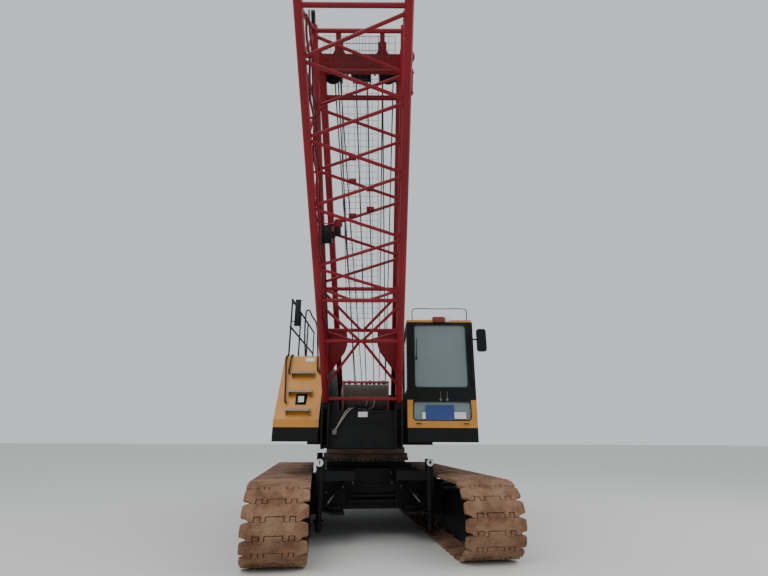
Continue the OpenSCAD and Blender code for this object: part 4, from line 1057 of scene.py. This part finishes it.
def screen_signs():
    """Blank plates with a thin rim on the lower screen."""
    for name, finish, x0, x1, z0, z1 in SCREEN_SIGNS:
        sign = block((x0, FRONT - 0.004, z0), (x1, FRONT - 0.0005, z1))
        settle(press(sign, -Y, (0.006, -0.001)), name, "upper", finish, 0.0005)


def door_pane():
    """Pane of the cab door, a little proud inside its edge."""
    pane = block((CAB_OUT - 0.024, -1.552, 2.16), (CAB_OUT - 0.018, -0.65, 3.08))
    settle(press(pane, X, (0.012, 0.002)), "door_pane", "cab_door", GLASS, 0.001)


cab_rails()
cab_handles()
screen_signs()
door_pane()


def pad(low, high, crown):
    """Crowned cushion between two corners, its sides pulled in between the corners."""
    form = block(low, high)
    edit_all()
    bpy.ops.mesh.subdivide(number_cuts=6)
    mode("OBJECT")
    middle = (Vector(low) + Vector(high)) / 2
    half = (Vector(high) - Vector(low)) / 2
    for vertex in form.data.vertices:
        share = [(vertex.co[k] - middle[k]) / half[k] for k in range(3)]
        for k in range(3):
            bulge = math.prod(1 - share[j] ** 2 for j in range(3) if j != k)
            vertex.co[k] = middle[k] + half[k] * share[k] * (0.9 + crown * bulge)
    apply_modifier(form, "SUBSURF", levels=1, render_levels=1)
    return form


SEAT_X, CAB_FLOOR = (CAB_IN + CAB_OUT) / 2, 1.65
# Places of the two arms from the seat's middle
ARMS = (-0.32, 0.32)


def seat_block(x, y0, y1, z0, z1, half_width):
    """Corners of a box of the seat, at a distance x from its middle and heights over the cab floor."""
    return ((SEAT_X + x - half_width, y0, CAB_FLOOR + z0), (SEAT_X + x + half_width, y1, CAB_FLOOR + z1))


def seat_pads():
    """Cushion and back with sewn channels, and two arm pads."""
    cushion = pad(*seat_block(0, -0.78, -0.28, 0.35, 0.47, 0.25), 0.1)
    back = pad(*seat_block(0, -0.33, -0.22, 0.46, 1.08, 0.24), 0.1)
    arms = [pad(*seat_block(x, -0.9, -0.35, 0.5, 0.56, 0.05), 0.08) for x in ARMS]
    for seam in (-0.1225, 0.0, 0.1225):
        for vertex in cushion.data.vertices:
            if abs(vertex.co.x - SEAT_X - seam) < 0.012:
                vertex.co.z -= 0.004
        for vertex in back.data.vertices:
            if abs(vertex.co.x - SEAT_X - seam) < 0.012 and vertex.co.y < -0.275:
                vertex.co.y += 0.004
    names = ("seat_cushion", "seat_back", "arm_pad_left", "arm_pad_right")
    for piece, name in zip([cushion, back] + arms, names):
        settle(piece, name, "upper", CLOTH, 0, 60)
    return cushion


def seat_frame():
    """Base of the seat, and its two arm consoles with their levers."""
    parts = [block(*seat_block(0, -0.7, -0.4, 0, 0.352, 0.15))]
    parts += [block(*seat_block(x, -0.9, -0.35, 0, 0.505, 0.05)) for x in ARMS]
    for x in ARMS:
        foot = Vector((SEAT_X + x, -0.84, CAB_FLOOR + 0.5))
        parts.append(rod(foot, foot + Vector((0, -0.02, 0.14)), 0.008, 12))
        parts.append(begin("uv_sphere", segments=16, ring_count=10, radius=0.026,
                           location=foot + Vector((0, -0.022, 0.155))))
    settle(parts, "seat_frame", "upper", RUBBER, 0.006)


def console():
    """Instrument column before the seat, with its screen."""
    dash = block((CAB_IN + 0.09, FRONT + 0.06, 1.66), (CAB_IN + 0.3, FRONT + 0.34, 2.16))
    screen = block((CAB_IN + 0.1, FRONT + 0.34, 2.12), (CAB_IN + 0.29, FRONT + 0.372, 2.3))
    settle([dash, screen], "cab_console", "upper", RUBBER, 0.012)


cushion = seat_pads()
seat_frame()
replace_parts(cushion, "cab_seat")
console()


# Housings: handrails, gate hoop, mirror, lamp, blank plates, latches, louvres, exhaust and grille

# The stepped front leans back by a slope from its foot up, and meets the roof
STEP_FOOT, STEP_SLOPE = 1.7, 0.5 / 1.02
ROOF = 2.72
LEFT_SIDE = -1.312


def lean_face(z):
    """Front face of the stepped housing at height z."""
    return FRONT + max(0.0, z - STEP_FOOT) * STEP_SLOPE


def on_front(x, z, proud, rise=0.0):
    """Point before the stepped front at height z, lifted by a rise."""
    return (x, lean_face(z) - proud, z + rise)


def handrail(points, name):
    """Black rail of round bar on the left housing."""
    settle(bent_bar(points, 0.013, bend=0.35), name, "upper", BLACK_PAINT, 0)


def front_rails():
    """Long and short handrails of the stepped front, and the hoop of the gate behind it."""
    # Place across, height, distance before the front and rise
    line = ((-1.164, 1.95, -0.01), (-1.166, 1.95, 0.07, 0.02), (-1.192, 2.15, 0.08), (-1.236, 2.45, 0.08),
            (-1.266, 2.66, 0.08), (-1.276, ROOF, -0.03, 0.015), (-1.276, ROOF, -0.09, 0.002))
    handrail([on_front(*spot) for spot in line], "front_rail_long")
    short = ((2.42, -0.01), (2.42, 0.05, 0.02), (2.56, 0.06), (2.68, 0.05, 0.02), (ROOF, -0.03, 0.025),
             (ROOF, -0.09, 0.002))
    for i, x in enumerate((-1.19, -0.7), 1):
        handrail([on_front(x, *spot) for spot in short], f"front_rail_short_{i}")
    # Place across and height of the hoop, which stands upright
    hoop_line = ((-0.795, 2.95), (-0.829, 3.275), (-0.913, 3.415), (-0.985, 3.52), (-1.018, 3.4),
                 (-1.015, 3.067), (-0.985, 2.722))
    handrail([on_front(-0.738, 2.45, -0.01), on_front(-0.742, 2.45, 0.05, 0.04), (-0.77, -1.2, 2.7)]
             + [(x, -1.15, z) for x, z in hoop_line], "left_gate_hoop")


def left_mirror():
    """Tall mirror shell on two arms from the front railing."""
    shell = block((-1.212, -1.172, 3.235), (-1.108, -1.14, 3.712))
    for vertex in shell.data.vertices:
        if vertex.co.y < -1.16:
            vertex.co.x = drawn_in(vertex.co.x, -1.16, 0.86)
            vertex.co.z = drawn_in(vertex.co.z, 3.473, 0.96)
    arms = [rod((-1.262, -1.15, z), (-1.2, -1.15, z), 0.009) for z in (3.32, 3.63)]
    settle([shell] + arms, "left_mirror", "upper", BLACK_PAINT, 0.01)


def lamp_lens():
    """Lens in the lamp opening of the stepped front."""
    y = lean_face(2.0)
    lens = block((-0.985, y - 0.03, 1.955), (-0.895, y - 0.008, 2.045))
    settle(press(lens, -Y, (0.008, -0.006)), "lamp_lens", "upper", LENS, 0.004)


def blank_plates():
    """Blank plates on the front plate and on the stepped front."""
    plate = press(block((-0.96, -0.001, 0.0), (-0.82, 0.002, 0.075)), -Y, (0.006, -0.001))
    sign = copy_of(plate, at(0.897, PLATE_FRONT, 1.738))
    settle(sign, "front_plate_sign", "upper", WHITE_ENAMEL, 0.0005)
    lean = Matrix.Rotation(-math.atan(STEP_SLOPE), 4, "X")
    plate.data.transform(at(0, lean_face(2.625) - 0.002, 2.625) @ lean)
    settle(plate, "front_blank_plate", "upper", WHITE_ENAMEL, 0.0005)


front_rails()
left_mirror()
lamp_lens()
blank_plates()


def latch(x, y, side, body, name):
    """Recessed paddle latch of a side door."""
    z = 2.1
    pan = block((x, y - 0.045, z - 0.035), (x + side * 0.004, y + 0.045, z + 0.035))
    press(pan, X * side, (0.01, -0.002))
    paddle = block((x + side * 0.002, y - 0.03, z - 0.02), (x + side * 0.009, y + 0.02, z + 0.02))
    settle([pan, paddle], name, body, RUBBER, 0.002)


latch(LEFT_SIDE, -0.4, -1, "left_door_1", "latch_left_1")
latch(LEFT_SIDE, 0.44, -1, "left_door_2", "latch_left_2")
latch(CAB_OUT, 0.96, 1, "engine_door", "latch_engine")


def louvres(x, y0, y1, z0, count, side, body, name):
    """Rows of pressed louvres in a side panel."""
    blade = block((0, y0, 0), (0.012, y1, 0.045))
    for vertex in blade.data.vertices:
        if vertex.co.x > 0.006 and vertex.co.z > 0.02:
            vertex.co.x = 0.001
    if side < 0:
        mirrored(blade)
    settle(copies(blade, [at(x, 0, z0 + i * 0.075) for i in range(count)]), name, body, YELLOW, 0.002)


louvres(LEFT_SIDE, -0.3, 0.16, 2.2, 4, -1, "left_door_1", "louvres_left_1")
louvres(LEFT_SIDE, 0.52, 0.98, 2.2, 4, -1, "left_door_2", "louvres_left_2")
louvres(CAB_OUT, 1.08, 1.56, 2.2, 4, 1, "engine_door", "louvres_engine")
louvres(CAB_OUT, 0.1, 0.76, 1.85, 8, 1, "upper", "louvres_cab_side")


def exhaust():
    """Bent exhaust pipe on its flange on the engine housing's roof."""
    x = 1.3
    # Place along the roof and height
    line = ((1.2, 2.718), (1.2, 2.8), (1.2, 2.95), (1.24, 3.03), (1.33, 3.08), (1.4, 3.09))
    pipe = bent_bar([(x, y, z) for y, z in line], 0.048, 6)
    flange = disc((x, 1.2, 2.727), 0.085, 0.012, 32)
    settle([pipe, flange], "exhaust", "upper", GREASE_WITH_PAINTED_LIGHT, 0.002)


def air_grille():
    """Air grille in the engine housing's roof: a lid with rows of square openings."""
    lid = block((0.95, 0.3, 2.7205), (1.52, 0.95, 2.738))
    pick_faces(lid, lambda center, normal: normal.z > FACING)
    bpy.ops.mesh.subdivide(number_cuts=8)
    bpy.ops.mesh.inset(thickness=0.012, use_individual=True)
    raise_region((0, 0, -0.012))
    mode("OBJECT")
    settle(lid, "air_grille", "upper", BLACK_PAINT, 0)


exhaust()
air_grille()


def weight_lugs():
    """Lifting lugs on top of the counterweight slabs."""
    parts = []
    for x in (-1.2, -0.72, 0.72, 1.2):
        parts.append(hoop((x, 3.2, 2.495), 0.045, 0.014, (24, 10), ALONG_Y))
        parts.append(block((x - 0.05, 3.18, 2.4505), (x + 0.05, 3.22, 2.462)))
    settle(parts, "weight_lugs", "upper", BLACK_PAINT, 0.002)


weight_lugs()


# Floor, light and camera

def studio():
    """Pale floor and soft light."""
    floor = begin("plane", size=200)
    floor.name = "floor"
    floor.data.materials.append(new_material("pale floor", Base_Color=linear("#DBDAD6"), Roughness=0.9)[0])

    world = bpy.data.worlds.new("soft sky")
    bpy.context.scene.world = world
    world.use_nodes = True
    background = world.node_tree.nodes["Background"]
    background.inputs["Color"].default_value = linear("#E4E9EE")
    background.inputs["Strength"].default_value = 0.9

    target = Vector((0, -1, 1.5))
    for name, place, size, energy in (("key", (-6, -9, 12), 10, 900), ("fill", (9, -4, 9), 9, 450)):
        light = bpy.data.lights.new(name, "AREA")
        light.size = size
        light.energy = energy
        lamp = bpy.data.objects.new(name, light)
        lamp.location = place
        lamp.rotation_euler = (target - lamp.location).to_track_quat("-Z", "Y").to_euler()
        bpy.context.collection.objects.link(lamp)


def camera():
    """Camera at the photo's viewpoint: 1.45 m high, looking up along the boom."""
    data = bpy.data.cameras.new("camera")
    data.sensor_width = 36.0
    data.lens = 21.05
    shot = bpy.data.objects.new("camera", data)
    bpy.context.collection.objects.link(shot)
    pitch, yaw, roll = (math.radians(angle) for angle in (18.435, 7.905, 0.264))
    turn = (Matrix.Rotation(-yaw, 4, "Z") @ Matrix.Rotation(QUARTER + pitch, 4, "X")
            @ Matrix.Rotation(roll, 4, "Z"))
    shot.matrix_world = at(-1.034, -7.805, 1.45) @ turn
    bpy.context.scene.camera = shot


camera()
studio()
